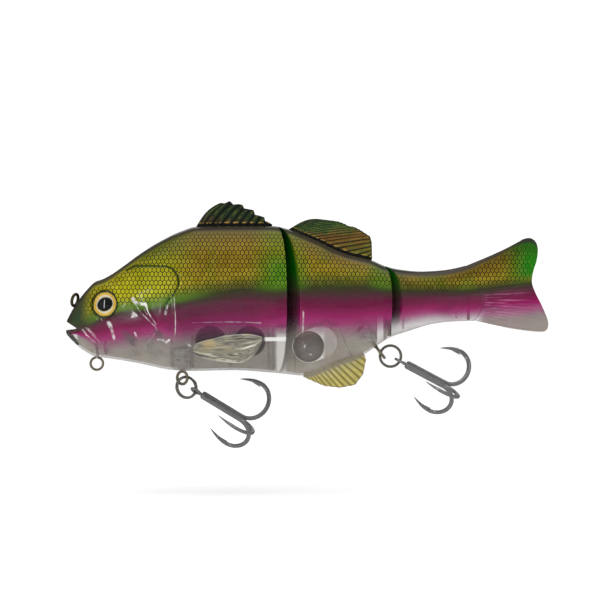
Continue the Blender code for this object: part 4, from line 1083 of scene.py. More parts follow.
def turned_pin(name, radius, end_radius, chamfer, length, foot, wire, body, node, sides):
    """Upright round pin with chamfered ends."""
    profile = [(0.0, 0.0), (end_radius, 0.0), (radius, chamfer), (radius, length - chamfer),
               (end_radius, length), (0.0, length)]
    pin = lathe(name, profile, foot, (0, 0, 1), wire, sides)
    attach(pin, body)
    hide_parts(node)


def lug_loops(hinge):
    """Outline of a lug and of its bore: round behind the pin, square towards its root."""
    outer = []
    inner = []
    for i in range(48):
        angle = 2 * math.pi * i / 48
        c, n = math.cos(angle), math.sin(angle)
        reach = LUG_RADIUS
        if c < 0:
            reach = min((hinge["root"] - 0.1) / max(-c, 1e-6), LUG_RADIUS / max(abs(n), 1e-6))
        outer.append((hinge["x"] + c * reach, n * reach))
        inner.append((hinge["x"] + c * LUG_BORE, n * LUG_BORE))
    return outer, inner


def hinge_hardware(wire, clear):
    for hinge, word, section, before in ((HINGE_1, "front", "middle_section", "front_section"),
                                         (HINGE_2, "rear", "rear_section", "middle_section")):
        turned_pin(word + "_hinge_pin", 0.78, 0.55, 0.25, hinge["high"] - hinge["low"],
                   (hinge["x"], 0, hinge["low"]), wire, section, word + "_joint_pin", 28)
        outer, inner = lug_loops(hinge)
        for height, place in zip(hinge["lugs"], ("upper", "lower")):
            rings = [[(x, y, height + level) for x, y in loop]
                     for loop, level in ((outer, -LUG_HALF), (outer, LUG_HALF),
                                         (inner, LUG_HALF), (inner, -LUG_HALF))]
            lug = loft("%s_hinge_lug_%s" % (word, place), rings, clear, smooth=False, closed=True)
            bevel(lug, 0.2, 2)
            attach(lug, before)
            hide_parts("%s_joint_lug_%s" % (word, place))


# ---------------------------------------------------------------- fins
def along_line(line, t):
    lengths = [0.0]
    for a, b in zip(line, line[1:]):
        lengths.append(lengths[-1] + math.dist(a, b))
    goal = t * lengths[-1]
    for i in range(len(line) - 1):
        if goal <= lengths[i + 1] or i == len(line) - 2:
            part = (goal - lengths[i]) / (lengths[i + 1] - lengths[i])
            return [p + (q - p) * part for p, q in zip(line[i], line[i + 1])]


def rayed_fin(name, root, tip, half_at, edge_half, material, rays, columns, rows, ridge=0.10,
              lean=1.0, bands=False, bow=(0.0, 0.0), across_tone=False):
    """Fin as a closed fan: rays run from the root to the tip and stand out as ridges."""
    verts = []
    ray = []
    reach_values = []
    tone = []
    rise = []
    flow = []
    band = []
    back = []
    index = {}
    counts = ray_counts(tip, rays) if hasattr(rays, "__len__") else None
    for side in (LEFT, RIGHT):
        for u in range(rows + 1):
            for v in range(columns + 1):
                across = v / columns
                inner = along_line(root, across ** lean)
                outer = along_line(tip, across)
                reach = u / rows
                x = inner[0] + (outer[0] - inner[0]) * reach
                z = inner[1] + (outer[1] - inner[1]) * reach
                length = max(math.dist(inner, outer), 0.01)
                lift = bow[0] * (1 - across) ** 3 + bow[1] * across ** 3
                lift *= math.sin(math.pi * reach ** 1.25) ** 0.9 if 0 < u < rows else 0.0
                x -= lift * (outer[1] - inner[1]) / length
                z += lift * (outer[0] - inner[0]) / length
                thick = half_at(inner[0], inner[1])
                number = smooth_value(counts, across) if counts else across * rays
                swell = 1 - abs(2 * across - 1) ** 60
                half = edge_half + max(thick - edge_half, 0) * (1 - reach) ** 1.3 * swell
                wave = 0.5 - 0.5 * math.cos(2 * math.pi * number)
                shape = min(reach / 0.16, 1.0) * (1 if 0 < v < columns else 0.3)
                half -= ridge * (1 - wave) * shape * (0.4 if u == rows else 1.0)
                index[side, u, v] = len(verts)
                verts.append((x, side * max(half, 0.06), z))
                ray.append(number)
                reach_values.append(reach)
                tone.append(across if across_tone else reach)
                low = smooth_value(BACK, x)
                rise.append(z - low if z > 0 else smooth_value(BELLY, x) - z)
                flow.append((x, z, 0.0))
                band.append(band_height(x, z))
                top = smooth_value(BACK, min(x, 162.0)) if x < 162 else smooth_value(TAIL_BACK, x)
                back.append(top - z)
    faces = []
    for side in (LEFT, RIGHT):
        for u in range(rows):
            for v in range(columns):
                faces.append((index[side, u, v], index[side, u + 1, v], index[side, u + 1, v + 1],
                              index[side, u, v + 1]))
    rim = [(0, v) for v in range(columns)] + [(u, columns) for u in range(rows)]
    rim += [(rows, v) for v in range(columns, 0, -1)] + [(u, 0) for u in range(rows, 0, -1)]
    for here, there in zip(rim, rim[1:] + rim[:1]):
        faces.append((index[(LEFT, *here)], index[(LEFT, *there)], index[(RIGHT, *there)],
                      index[(RIGHT, *here)]))
    count = len(verts)
    attributes = {"ray": ("FLOAT", ray), "reach": ("FLOAT", reach_values), "tone": ("FLOAT", tone),
                  "rise": ("FLOAT", rise)}
    if bands:
        attributes.update({"flow": ("FLOAT_VECTOR", flow), "band": ("FLOAT", band),
                           "back": ("FLOAT", back), "face": ("FLOAT", [0.0] * count),
                           "gill": ("FLOAT", [9.0] * count), "bright": ("FLOAT", [9.0] * count)})
    obj = new_object(name, verts, faces, material, True, attributes)
    return sharpen(obj, 50.0)


TAIL_BACK = [(160.0, 16.0), (166.6, 19.2), (173.1, 22.8), (177.1, 24.2), (179.7, 24.6), (182.0, 23.6),
             (182.9, 21.5)]


def smoothed(line, steps=5):
    """The same line with its corners rounded, still through every point."""
    result = []
    for i in range(len(line) - 1):
        before = line[max(i - 1, 0)]
        a, b = line[i], line[i + 1]
        after = line[min(i + 2, len(line) - 1)]
        for k in range(steps):
            t = k / steps
            point = []
            for axis in (0, 1):
                one = (b[axis] - before[axis]) / 2
                two = (after[axis] - a[axis]) / 2
                point.append((2 * t ** 3 - 3 * t ** 2 + 1) * a[axis] + (t ** 3 - 2 * t ** 2 + t) * one
                             + (3 * t ** 2 - 2 * t ** 3) * b[axis] + (t ** 3 - t ** 2) * two)
            result.append(tuple(point))
    return result + [line[-1]]


def ray_counts(tip, peaks):
    """Ray number as a function of arc length, whole at each listed corner of the tip line."""
    lengths = [0.0]
    for a, b in zip(tip, tip[1:]):
        lengths.append(lengths[-1] + math.dist(a, b))
    return [(lengths[corner] / lengths[-1], float(number)) for corner, number in peaks]


def ridge_line(outline, x_range, offset, steps=24):
    low, high = x_range
    return [(low + (high - low) * i / steps,
             smooth_value(outline, low + (high - low) * i / steps) + offset)
            for i in range(steps + 1)]


def scalloped(line, lobes, dip):
    """Tip line that dips a little between neighbouring rays."""
    result = []
    steps = 6
    for i in range(lobes * steps + 1):
        t = i / (lobes * steps)
        x, z = along_line(line, t)
        phase = (i % steps) / steps
        z -= dip * math.sin(math.pi * phase)
        result.append((x, z))
    return result


FRONT_TIP = [(57.6, 38.4), (59.2, 38.2), (60.8, 39.0), (61.5, 38.9), (62.6, 37.7), (64.6, 37.9),
             (66.2, 37.6), (66.9, 36.2), (68.6, 35.9), (70.6, 35.5), (71.2, 33.7), (73.0, 33.3),
             (74.8, 32.7), (75.2, 31.2), (76.4, 30.8), (78.0, 29.8)]
FRONT_RAYS = [(0, 0.0), (2, 1.5), (6, 3.5), (9, 5.5), (12, 7.5), (15, 9.0)]
REAR_TIP = [(99.4, 31.4), (101.7, 31.4), (104.4, 31.0), (106.5, 30.2), (107.9, 29.4), (110.5, 28.9),
            (112.8, 27.7), (116.6, 25.2), (117.2, 23.0), (117.3, 20.5), (117.4, 16.6)]
ANAL_TIP = [(90.2, -30.4), (94.2, -32.2), (98.4, -34.0), (104.8, -34.7), (110.6, -33.6),
            (113.8, -29.5), (115.0, -23.7), (114.4, -21.7)]
TAIL_TIP = [(177.1, 24.1), (179.6, 24.5), (181.8, 23.2), (182.8, 20.3), (182.4, 15.8), (181.0, 11.2),
            (180.5, 7.0), (181.8, 3.0), (184.3, -2.0), (186.5, -7.2), (186.9, -10.3),
            (185.6, -12.3), (182.4, -12.5)]


def fins(paint_tail):
    dark = fin_material("dorsal_front_tint",
                        [(0.0, srgb(52, 42, 20)), (0.30, srgb(44, 40, 20)), (0.55, srgb(26, 50, 18)),
                         (0.85, srgb(20, 44, 16)), (1.0, srgb(14, 22, 10))],
                        srgb(8, 11, 6), srgb(7, 9, 6), 0.97, 0.30)
    green = fin_material("dorsal_rear_tint",
                         [(0.0, srgb(16, 42, 10)), (0.2, srgb(26, 70, 12)), (0.42, srgb(48, 76, 12)),
                          (0.62, srgb(104, 70, 16)), (0.80, srgb(98, 82, 14)),
                          (1.0, srgb(86, 98, 18))],
                         srgb(10, 13, 4), srgb(8, 9, 6), 0.95, 0.40)
    yellow = fin_material("anal_tint",
                          [(0.0, srgb(150, 142, 104)), (0.25, srgb(172, 162, 96)),
                           (0.5, srgb(178, 166, 56)), (0.9, srgb(170, 156, 30))],
                          srgb(112, 98, 22), srgb(140, 132, 96), 0.68, 0.6)

    def thin(x, z):
        return 0.55

    specs = [("front_dorsal_fin", "front_spiny_dorsal", ridge_line(BACK, (47.0, 77.6), -1.2),
              FRONT_TIP, dark, FRONT_RAYS, 240, 1.0, "front_section", "tinted_fin", (1.5, 0.0), False),
             ("rear_dorsal_fin", "rear_soft_dorsal", ridge_line(BACK, (83.0, 117.0), -1.2),
              scalloped(REAR_TIP, 18, 0.16), green, 18, 216, 2.6, "middle_section", "tinted_fin",
              (2.2, 0.0), True),
             ("anal_fin", "yellow_anal_fin", ridge_line(BELLY, (90.4, 113.6), 1.2),
              scalloped(ANAL_TIP, 14, -0.12), yellow, 14, 168, 1.5, "middle_section",
              "yellow_fin", (0.0, 0.0), False)]
    for node, name, root, tip, material, rays, columns, lean, body, slot, bow, by_ray in specs:
        fin = rayed_fin(name, root, tip, thin, 0.34, material, rays, columns, 20, 0.16, lean,
                        False, bow, by_ray)
        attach(fin, body)
        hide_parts(node)

    def seam_half(x, z):
        return max(flank_y(x, z) - 0.03, 0.5)

    seam = [(seam_x(13.5 - 21.6 * i / 30) + 0.03, 13.5 - 21.6 * i / 30) for i in range(31)]
    tail = rayed_fin("tail_fan", seam, smoothed(TAIL_TIP), seam_half, 0.45, paint_tail, 26, 208, 30,
                     0.035, 1.0, True, (-0.5, -0.5))
    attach(tail, "rear_section")
    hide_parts("tail_fin")


PECTORAL_UPPER = [(46.2, -19.5), (48.8, -16.8), (54.5, -15.2), (61.2, -13.6), (68.1, -13.2),
                  (73.6, -14.2), (74.8, -14.9)]
PECTORAL_LOWER = [(46.2, -19.9), (48.8, -21.9), (53.3, -23.3), (59.0, -24.3), (64.7, -24.7),
                  (70.3, -22.2), (74.8, -15.3)]


def glassy_fin_material():
    """Clear moulded fin with painted pale, grey and golden reflections along its grooves."""
    s = Shade("pectoral_clear")
    along = s.attribute("along")
    across = s.attribute("across")
    place = s.position()
    sweep = s.node("ShaderNodeCombineXYZ", {"X": s.math("MULTIPLY", along, 1.6),
                   "Y": s.math("MULTIPLY", across, 7.0)}).outputs[0]
    folds = s.noise(sweep, 0.9, 2.0, 0.5, 0.9)
    fine = s.noise(sweep, 3.0, 2.0, 0.5, 0.4)
    wave = s.math("ADD", s.math("MULTIPLY", folds, 0.85), s.math("MULTIPLY", fine, 0.15))
    # painted reflections: pale, grey and white streaks following the grooves
    colour = s.ramp(wave, [(0.30, srgb(70, 70, 70)), (0.40, srgb(118, 114, 104)),
                           (0.46, srgb(176, 170, 148)), (0.51, srgb(92, 92, 88)),
                           (0.57, srgb(206, 200, 180)), (0.62, srgb(138, 130, 108)),
                           (0.70, srgb(244, 242, 232))])
    painted_gold_reflection = s.math("MULTIPLY", s.range(s.noise(place, 0.13, 1.0, 0.4), 0.46, 0.68),
                  s.range(across, 0.8, 0.2))
    colour = s.mix(s.math("MULTIPLY", painted_gold_reflection, 0.5), colour, srgb(226, 200, 132))
    # painted highlight along both edges of the fin
    edge = s.range(s.math("ABSOLUTE", s.math("SUBTRACT", across, 0.5)), 0.43, 0.48)
    colour = s.mix(s.math("MULTIPLY", edge, 0.5), colour, srgb(214, 210, 200))
    amount = s.range(wave, 0.35, 0.65, 0.55, 0.9)
    s.principled(Base_Color=colour, Roughness=s.range(fine, 0.3, 0.7, 0.10, 0.25),
                 Alpha=amount, Normal=s.bump(wave, 0.6, 0.8), Coat_Weight=1.0,
                 Coat_Roughness=0.03)
    return s.material


PECTORAL_START = 47.0
PECTORAL_LENGTH = 27.2


def pectorals(material, columns=60, rows=40, grooves=5):
    """Clear fin on each flank with deep grooves fanning from its root."""
    parts = [k / rows for k in range(rows + 1)]
    for side, word in SIDES:
        rings = []
        along = []
        for i in range(columns + 1):
            share = i / columns
            x = PECTORAL_START + PECTORAL_LENGTH * share
            high = smooth_value(PECTORAL_UPPER, x)
            low = smooth_value(PECTORAL_LOWER, x)
            ends = min(1.0, 8 * (1 - share) + 0.1)
            inner = []
            outer = []
            for part in parts:
                z = high + (low - high) * part
                groove = 0.5 - 0.5 * math.cos(2 * math.pi * grooves * part)
                edge = min(1.0, 5 * min(part, 1 - part) + 0.15) * ends * min(1.0, 6 * share + 0.3)
                base = flank_y(x, z)
                inner.append((x, side * (base + 0.32), z))
                outer.append((x, side * (base + 0.36 + (0.28 + 0.38 * (1 - groove)) * edge), z))
            rings.append(inner + outer[::-1])
            along += [share] * (2 * rows + 2)
        across = (parts + parts[::-1]) * (columns + 1)
        obj = loft(word + "_moulded_pectoral", rings, material,
                   attributes={"along": ("FLOAT", along), "across": ("FLOAT", across)})
        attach(obj, "front_section")
        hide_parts(word + "_pectoral_fin")


# ---------------------------------------------------------------- eyes, ties and the lip
def eye_frame(side, lift):
    x, z = EYE_POSITION
    out = flank_normal(x, z, side)
    surface = Vector((x, side * flank_y(x, z), z))
    return surface + out * lift, out


def iris_material():
    """Printed foil: silver edge, gold and orange rings round an oval pupil."""
    s = Shade("eye_foil_print")
    polar = s.attribute("disc", "Vector")
    parts = s.split(polar)
    radius = s.vector("LENGTH", polar)
    streaks = s.noise(s.scaled(polar, 1.0), 2.2, 5.0, 0.7, 0.6)
    wobble = s.math("ADD", radius, s.math("MULTIPLY", s.math("SUBTRACT", streaks, 0.5), 0.16))
    colour = s.ramp(wobble, [(0.0, srgb(120, 90, 20)), (0.52, srgb(206, 170, 70)),
                             (0.60, srgb(244, 238, 206)), (0.70, srgb(232, 230, 212)),
                             (0.77, srgb(250, 206, 60)), (0.82, srgb(238, 156, 30)),
                             (0.88, srgb(240, 216, 96)), (0.985, srgb(70, 70, 26))])
    tilt = s.math("ADD", s.math("MULTIPLY", parts[0], 0.96), s.math("MULTIPLY", parts[1], 0.28))
    rise = s.math("SUBTRACT", s.math("MULTIPLY", parts[1], 0.96),
                  s.math("MULTIPLY", parts[0], 0.28))
    oval = s.math("SQRT", s.math("ADD", s.math("POWER", s.math("MULTIPLY", tilt, 1.52), 2.0),
                                 s.math("POWER", s.math("MULTIPLY", rise, 1.85), 2.0)))
    pupil = s.range(oval, 1.03, 0.97)
    ring = s.math("MULTIPLY", s.range(oval, 1.35, 1.05), s.math("SUBTRACT", 1.0, pupil))
    colour = s.mix(s.math("MULTIPLY", ring, 0.35), colour, srgb(150, 110, 50))
    colour = s.mix(pupil, colour, (0.004, 0.004, 0.005, 1))
    # painted highlight: a thin upright white glint in the pupil
    slit = s.math("ABSOLUTE", s.math("ADD", parts[0], 0.06))
    tall = s.math("ABSOLUTE", s.math("SUBTRACT", parts[1], 0.02))
    glint = s.math("MULTIPLY", s.range(slit, 0.05, 0.015), s.range(tall, 0.38, 0.25))
    colour = s.mix(s.math("MULTIPLY", glint, 0.8), colour, srgb(226, 226, 232))
    metallic = s.math("MULTIPLY", s.math("SUBTRACT", 1.0, pupil), 0.15)
    s.principled(Base_Color=colour, Metallic=metallic,
                 Roughness=s.range(streaks, 0.3, 0.7, 0.22, 0.42),
                 Normal=s.bump(streaks, 0.08, 0.4), Coat_Weight=0.5)
    return s.material


def iris(name, base, out, spoke, material, rings=14, sides=64):
    """Shallow dished disc with a rim; its disc attribute holds the place on the print."""
    angles = [2 * math.pi * k / sides for k in range(sides)]
    verts = [tuple(base + out * -0.1)]
    disc = [(0.0, 0.0, 0.0)]
    for i in range(1, rings + 2):
        share = min(i / rings, 1.0)
        dish = -0.1 + 0.22 * share ** 2 if i <= rings else -0.4
        for angle in angles:
            verts.append(tuple(base + spoke(angle) * (EYE_RADIUS * share) + out * dish))
            disc.append((math.cos(angle) * share, math.sin(angle) * share, 0.0))
    faces = [(0, 1 + k, 1 + (k + 1) % sides) for k in range(sides)]
    for i in range(rings):
        for k in range(sides):
            a = 1 + i * sides + k
            b = 1 + i * sides + (k + 1) % sides
            faces.append((a, b, b + sides, a + sides))
    faces.append(tuple(1 + rings * sides + k for k in range(sides)))
    return new_object(name, verts, faces, material, True, {"disc": ("FLOAT_VECTOR", disc)})


def eyes():
    foil = iris_material()
    dome_look = clear_material("eye_dome_clear", srgb(10, 10, 6), 0.02, 0.16, 0.02)
    rim_look = clear_material("eye_socket_rim", srgb(40, 40, 12), 0.95, 1.0, 0.15)
    quarter = [math.radians(90 * i / 14) for i in range(15)]
    profile = [(EYE_RADIUS, 0.16)] + [(EYE_RADIUS * math.cos(angle), 0.55 + 1.5 * math.sin(angle))
                                      for angle in quarter]
    for side, word in SIDES:
        base, out = eye_frame(side, -EYE_SINK)
        up = (Vector((0, 0, 1)) - out * out.z).normalized()
        across = up.cross(out).normalized() * (1 if side == LEFT else -1)

        def spoke(angle):
            return across * math.cos(angle) + up * math.sin(angle)

        disc = iris(word + "_iris_print", base, out, spoke, foil)
        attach(disc, "front_section")
        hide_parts(word + "_eye_iris")
        dome = lathe(word + "_eye_dome", profile, base, out, dome_look, 64)
        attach(dome, "front_section")
        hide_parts(word + "_eye_lens")
        spots = [base + spoke(2 * math.pi * k / 72) * (EYE_RADIUS + 0.25) for k in range(72)]
        loop = [(spot.x, side * (flank_y(spot.x, spot.z) + 0.02), spot.z) for spot in spots]
        ring = tube(word + "_eye_rim", loop, 0.20, rim_look, 10, True)
        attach(ring, "front_section")


def lip(material):
    """Dark lower lip, a tapered bar bent round the front of the jaw."""
    half = [(1.7, -17.2), (0.7, -16.1), (-0.4, -14.9), (-1.4, -13.8), (-2.2, -12.9)]
    points = [(x, LEFT * (flank_y(x, z) + 0.12), z) for x, z in half]
    points.append((-2.75, 0.0, -12.1))
    points += [(x, RIGHT * (flank_y(x, z) + 0.12), z) for x, z in half[::-1]]
    path = [point + Vector((-0.06, 0, -0.5)) for point in rounded_path(points, 8)]
    last = len(path) - 1
    radii = [0.22 + 0.50 * math.sin(math.pi * i / last) ** 0.45 for i in range(last + 1)]
    obj = tube("lower_lip", path, radii, material, 16)
    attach(obj, "front_section")


def loop_points(centre, toward, across, radius, count, long=1.0):
    return [Vector(centre) + (Vector(toward) * (math.cos(2 * math.pi * i / count) * long)
                              + Vector(across) * math.sin(2 * math.pi * i / count)) * radius
            for i in range(count)]


def nose_tie(wire, aged):
    lean = math.radians(77.0)
    twist = math.radians(24)
    way = Vector((math.cos(lean), 0, math.sin(lean)))
    turned = (Vector((math.sin(lean), 0, -math.cos(lean))) * math.sin(twist)
              + ACROSS * math.cos(twist))
    ring = tube("nose_tie_wire", loop_points((0, 0, 0), way, turned, 2.35, 56), 0.62,
                aged, 16, True)
    root = -way * 2.45
    inward = Vector((4.6, 0, -3.4)).normalized()
    shank = tube("shank", [root + inward * 6.4 * k / 6 for k in range(7)], 0.44, wire, 14)
    obj = join("nose_tie_wire", [ring, shank])
    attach(obj, "front_section")
    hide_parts("nose_line_tie")


def chin_tie(wire):
    """Wire that leaves the chin and closes into an open-ended ring."""
    centre = Vector((8.65, 0, -25.1))
    angles = [math.radians(14 + 342 * i / 51) for i in range(52)]
    ring = [centre + Vector((math.sin(angle), 0, math.cos(angle))) * 2.45 for angle in angles]
    shank = [Vector((8.35, 0, -16.4)), Vector((8.5, 0, -18.6)), Vector((8.9, 0, -21.2))]
    path = rounded_path(shank + [ring[0]] + ring[3::3] + [ring[-1]], 6)
    obj = tube("chin_tie_wire", path, 0.48, wire, 16)
    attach(obj, "front_section")
    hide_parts("chin_line_tie")


# ---------------------------------------------------------------- swivels, rings and hooks
FRONT_SWIVEL = dict(barrel=(42.4, -22.9), eye=(42.4, -30.7), tilt=-90.0, turn=-20.0)
REAR_SWIVEL = dict(barrel=(115.3, -13.8), eye=(120.7, -20.8), tilt=-52.4, turn=90.0)
RING_RADIUS = 4.15


def swivel(spec, word, section, wire, barrel_look):
    angle = math.radians(spec["tilt"])
    way = Vector((math.cos(angle), 0, math.sin(angle)))
    side = way.cross(ACROSS)
    centre = Vector((spec["barrel"][0], 0, spec["barrel"][1]))
    profile = [(0.9, -3.0), (1.55, -3.0), (1.95, -2.6), (1.95, -1.9), (1.82, -1.7), (1.95, -1.5),
               (1.95, 1.5), (1.82, 1.7), (1.95, 1.9), (1.95, 2.5), (1.5, 3.0), (0.9, 3.0)]
    barrel = lathe(word + "_barrel_turned", profile, centre, way, barrel_look, 40)
    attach(barrel, section)
    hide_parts(word + "_swivel_barrel")
    eye = Vector((spec["eye"][0], 0, spec["eye"][1]))
    turn = math.radians(spec["turn"])
    across = side * math.cos(turn) + ACROSS * math.sin(turn)
    loop = tube("loop", loop_points(eye, way, across, 2.15, 44, 2.5 / 2.15), 0.58, wire, 16, True)
    head = centre - way * 4.0
    reach = (eye - head).dot(way) - 2.5
    stem = lathe("stem", [(0.0, 0.02), (1.1, 0.02), (1.38, 0.2), (1.38, 0.55), (1.1, 0.68),
                          (0.58, 0.7), (0.58, reach - 1.2), (0.72, reach - 0.5),
                          (0.6, reach + 0.15)], head, way, wire, 24)
    twist = []
    for i in range(60):
        spin = 2 * math.pi * 3.2 * i / 59
        twist.append(head + way * (reach - 1.7 + 1.5 * i / 59)
                     + (side * math.cos(spin) + ACROSS * math.sin(spin)) * 0.60)
    obj = join(word + "_swivel_loop", [loop, stem, tube("wrap", twist, 0.24, wire, 10)])
    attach(obj, word + "_swivel")
    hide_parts(word + "_swivel_eye")


def split_ring(name, centre, toward, across, look, body, node, turns=1.93, steps=150):
    """Double coil of flattened wire whose two ends step past each other."""
    toward = Vector(toward).normalized()
    across = Vector(across).normalized()
    normal = toward.cross(across).normalized()
    corners = [2 * math.pi * k / 14 for k in range(14)]
    outline = [(math.copysign(abs(math.cos(c)) ** 0.75, math.cos(c)) * 0.53,
                math.copysign(abs(math.sin(c)) ** 0.75, math.sin(c)) * 0.31) for c in corners]
    rings = []
    for i in range(steps + 1):
        part = i / steps
        angle = 2 * math.pi * turns * part + 2.3
        crossing = min(max((part - 0.40) / 0.2, 0), 1)
        level = -0.33 * math.cos(math.pi * crossing)
        outward = toward * math.cos(angle) + across * math.sin(angle)
        middle = Vector(centre) + outward * RING_RADIUS + normal * level
        rings.append([middle + outward * a + normal * b for a, b in outline])
    obj = loft(name, rings, look)
    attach(obj, body)
    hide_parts(node)


def circle(middle, wide_way, thin_way, wide, thin, sides):
    return [middle + wide_way * (math.cos(2 * math.pi * j / sides) * wide)
            + thin_way * (math.sin(2 * math.pi * j / sides) * thin) for j in range(sides)]


def prong_path(eye, shank, out, bend_start, size):
    """Centre line of one hook: along the shank, round the bend and up to the point."""
    flat = [(3.6, 0.86), (3.8, 0.98), (8.0, 0.98), (bend_start - 6, 0.98), (bend_start, 1.0)]
    for i in range(1, 13):
        sweep = math.radians(-90 + 175 * i / 12)
        flat.append((bend_start + 6.4 * size * math.cos(sweep),
                     0.98 + 7.3 * size * (1 + math.sin(sweep))))
    last = flat[-1]
    tip = (3.6 + 8.5 * size, 12.9 * size)
    for part in (0.25, 0.5, 0.75, 1.0):
        bow = 0.7 * math.sin(math.pi * part)
        flat.append((last[0] + (tip[0] - last[0]) * part, last[1] + (tip[1] - last[1]) * part + bow))
    return rounded_path([eye + shank * a + out * b for a, b in flat], 5)


def prong(path, side, look):
    """Wire pressed flatter round the bend and drawn out to a point."""
    last = len(path) - 1
    rings = []
    for i, point in enumerate(path):
        along = (path[min(i + 1, last)] - path[max(i - 1, 0)]).normalized()
        flat_way = side.cross(along).normalized()
        pressed = min(max((i - 20) / 12, 0.0), 1.0)
        girth = 1.0
        if last - i < 15:
            girth = max((last - i) / 5 / 3.0, 0.05) ** 0.66
        if i < 2:
            girth = 0.6 + 0.2 * i
        rings.append(circle(point, flat_way, side, (0.82 + 0.08 * pressed) * girth,
                            (0.82 - 0.10 * pressed) * girth, 18))
    return loft("wire", rings, look)


def barb(path, inward, look):
    """Sliver of steel raised from the inside of the point."""
    root = path[-18]
    lean = (path[-10] - root).normalized()
    width = lean.cross(inward).normalized()
    rings = [circle(root + inward * (0.45 + lift) - lean * (part * 2.5 - 1.5), width, inward,
                    girth * 0.8, girth, 10)
             for part, lift, girth in ((-0.35, 0.0, 0.34), (0.2, 0.14, 0.48), (0.55, 0.46, 0.36),
                                       (0.85, 0.92, 0.18), (1.0, 1.16, 0.05))]
    return loft("barb", rings, look)


def treble(name, eye, shank, eye_across, spin, size, look, body, node):
    """Three forged, barbed hooks brazed round a shank that ends in a wire eye."""
    eye = Vector(eye)
    shank = Vector(shank).normalized()
    side_way = shank.cross(ACROSS).normalized()
    across = Vector(eye_across).normalized()
    bend_start = 3.6 + 16.2 * size
    angles = [math.radians(10 + 322 * i / 39) for i in range(40)]
    loop = [eye + (shank * math.cos(angle) + across * math.sin(angle)) * 1.75 for angle in angles]
    neck = [eye + shank * (1.9 + 0.6 * k) for k in range(5)]
    parts = [tube("eye", loop, 0.54, look, 14),
             tube("neck", [loop[0] + (neck[0] - loop[0]) * 0.2] + neck, 0.7, look, 14),
             lathe("core", [(0.0, 3.5), (0.8, 3.6), (0.95, 4.3), (0.95, bend_start - 1.6),
                            (0.6, bend_start), (0.0, bend_start + 0.6)], eye, shank, look, 20)]
    for k in range(3):
        angle = math.radians(spin + 120 * k)
        out = side_way * math.cos(angle) + ACROSS * math.sin(angle)
        path = prong_path(eye, shank, out, bend_start, size)
        parts.append(prong(path, shank.cross(out).normalized(), look))
        parts.append(barb(path, -out, look))
    obj = join(name, parts)
    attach(obj, body)
    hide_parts(node)


def hook_chains(look, ring_look):
    eye = Vector((FRONT_SWIVEL["eye"][0], 0, FRONT_SWIVEL["eye"][1]))
    lay = math.radians(30.0)
    hang = Vector((0.40, 0, -0.917)).normalized()
    level = Vector((-hang.z, 0, hang.x))
    over = level * math.cos(lay) + ACROSS * math.sin(lay)
    centre = eye + hang * RING_RADIUS
    split_ring("front_double_ring", centre, hang, over, ring_look, "front_ring", "front_split_ring")
    reach = math.radians(48.0)
    hook_eye = centre + (hang * math.cos(reach) + over * math.sin(reach)) * RING_RADIUS
    tangent = -hang * math.sin(reach) + over * math.cos(reach)
    shank = Vector((0.856, 0, -0.517))
    treble("front_forged_treble", hook_eye, shank, tangent.cross(shank), 18.0, 1.06, look,
           "front_hook", "front_treble_hook")
    eye = Vector((REAR_SWIVEL["eye"][0], 0, REAR_SWIVEL["eye"][1]))
    hang = Vector((0.945, 0, -0.327)).normalized()
    over = Vector((0.327, 0, 0.945))
    centre = eye + hang * RING_RADIUS
    split_ring("rear_double_ring", centre, hang, over, ring_look, "rear_ring", "rear_split_ring")
    shank = Vector((0.883, 0, -0.469)).normalized()
    treble("rear_forged_treble", centre + shank * RING_RADIUS, shank, (0, 1, 0), 20.0, 1.0, look,
           "rear_hook", "rear_treble_hook")


# ---------------------------------------------------------------- stage
FLOOR_LEVEL = -76.0
FLOOR_HALF = 6000.0


def floor():
    s = Shade("studio_floor")
    grain = s.noise(s.position(), 0.02, 4.0, 0.6)
    pale = s.mix(grain, srgb(244, 244, 244), srgb(250, 250, 250))
    in_gloss = s.node("ShaderNodeLightPath").outputs["Is Glossy Ray"]
    s.principled(Base_Color=s.mix(in_gloss, pale, srgb(120, 120, 120)), Roughness=0.9,
                 Emission_Color=(1, 1, 1, 1), Emission_Strength=0.10)
    corners = [(x * FLOOR_HALF, y * FLOOR_HALF, FLOOR_LEVEL)
               for x, y in ((-1, -1), (1, -1), (1, 1), (-1, 1))]
    new_object("studio_floor", corners, [(0, 1, 2, 3)], s.material, False)


def sky():
    """White surroundings, dimmer for diffuse rays and nearly dark for reflections."""
    world = bpy.data.worlds.new("studio")
    bpy.context.scene.world = world
    world.use_nodes = True
    tree = world.node_tree
    background = tree.nodes["Background"]
    background.inputs["Color"].default_value = (1, 1, 1, 1)
    seen = tree.nodes.new("ShaderNodeLightPath")
    gloss = tree.nodes.new("ShaderNodeMapRange")
    gloss.inputs["To Min"].default_value = 0.80
    gloss.inputs["To Max"].default_value = 0.07
    tree.links.new(seen.outputs["Is Glossy Ray"], gloss.inputs["Value"])
    direct = tree.nodes.new("ShaderNodeMix")
    direct.data_type = "FLOAT"
    direct.inputs[3].default_value = 1.1
    tree.links.new(seen.outputs["Is Camera Ray"], direct.inputs[0])
    tree.links.new(gloss.outputs[0], direct.inputs[2])
    tree.links.new(direct.outputs[0], background.inputs["Strength"])


def area(name, place, target, width, height, radiance):
    light = bpy.data.lights.new(name, "AREA")
    light.shape = "RECTANGLE"
    light.size = width * MM
    light.size_y = height * MM
    light.energy = radiance * math.pi * width * height * MM * MM
    obj = bpy.data.objects.new(name, light)
    bpy.context.collection.objects.link(obj)
    obj.location = Vector(place) * MM
    obj.rotation_mode = "QUATERNION"
    obj.rotation_quaternion = (Vector(target) - Vector(place)).to_track_quat("-Z", "Y")


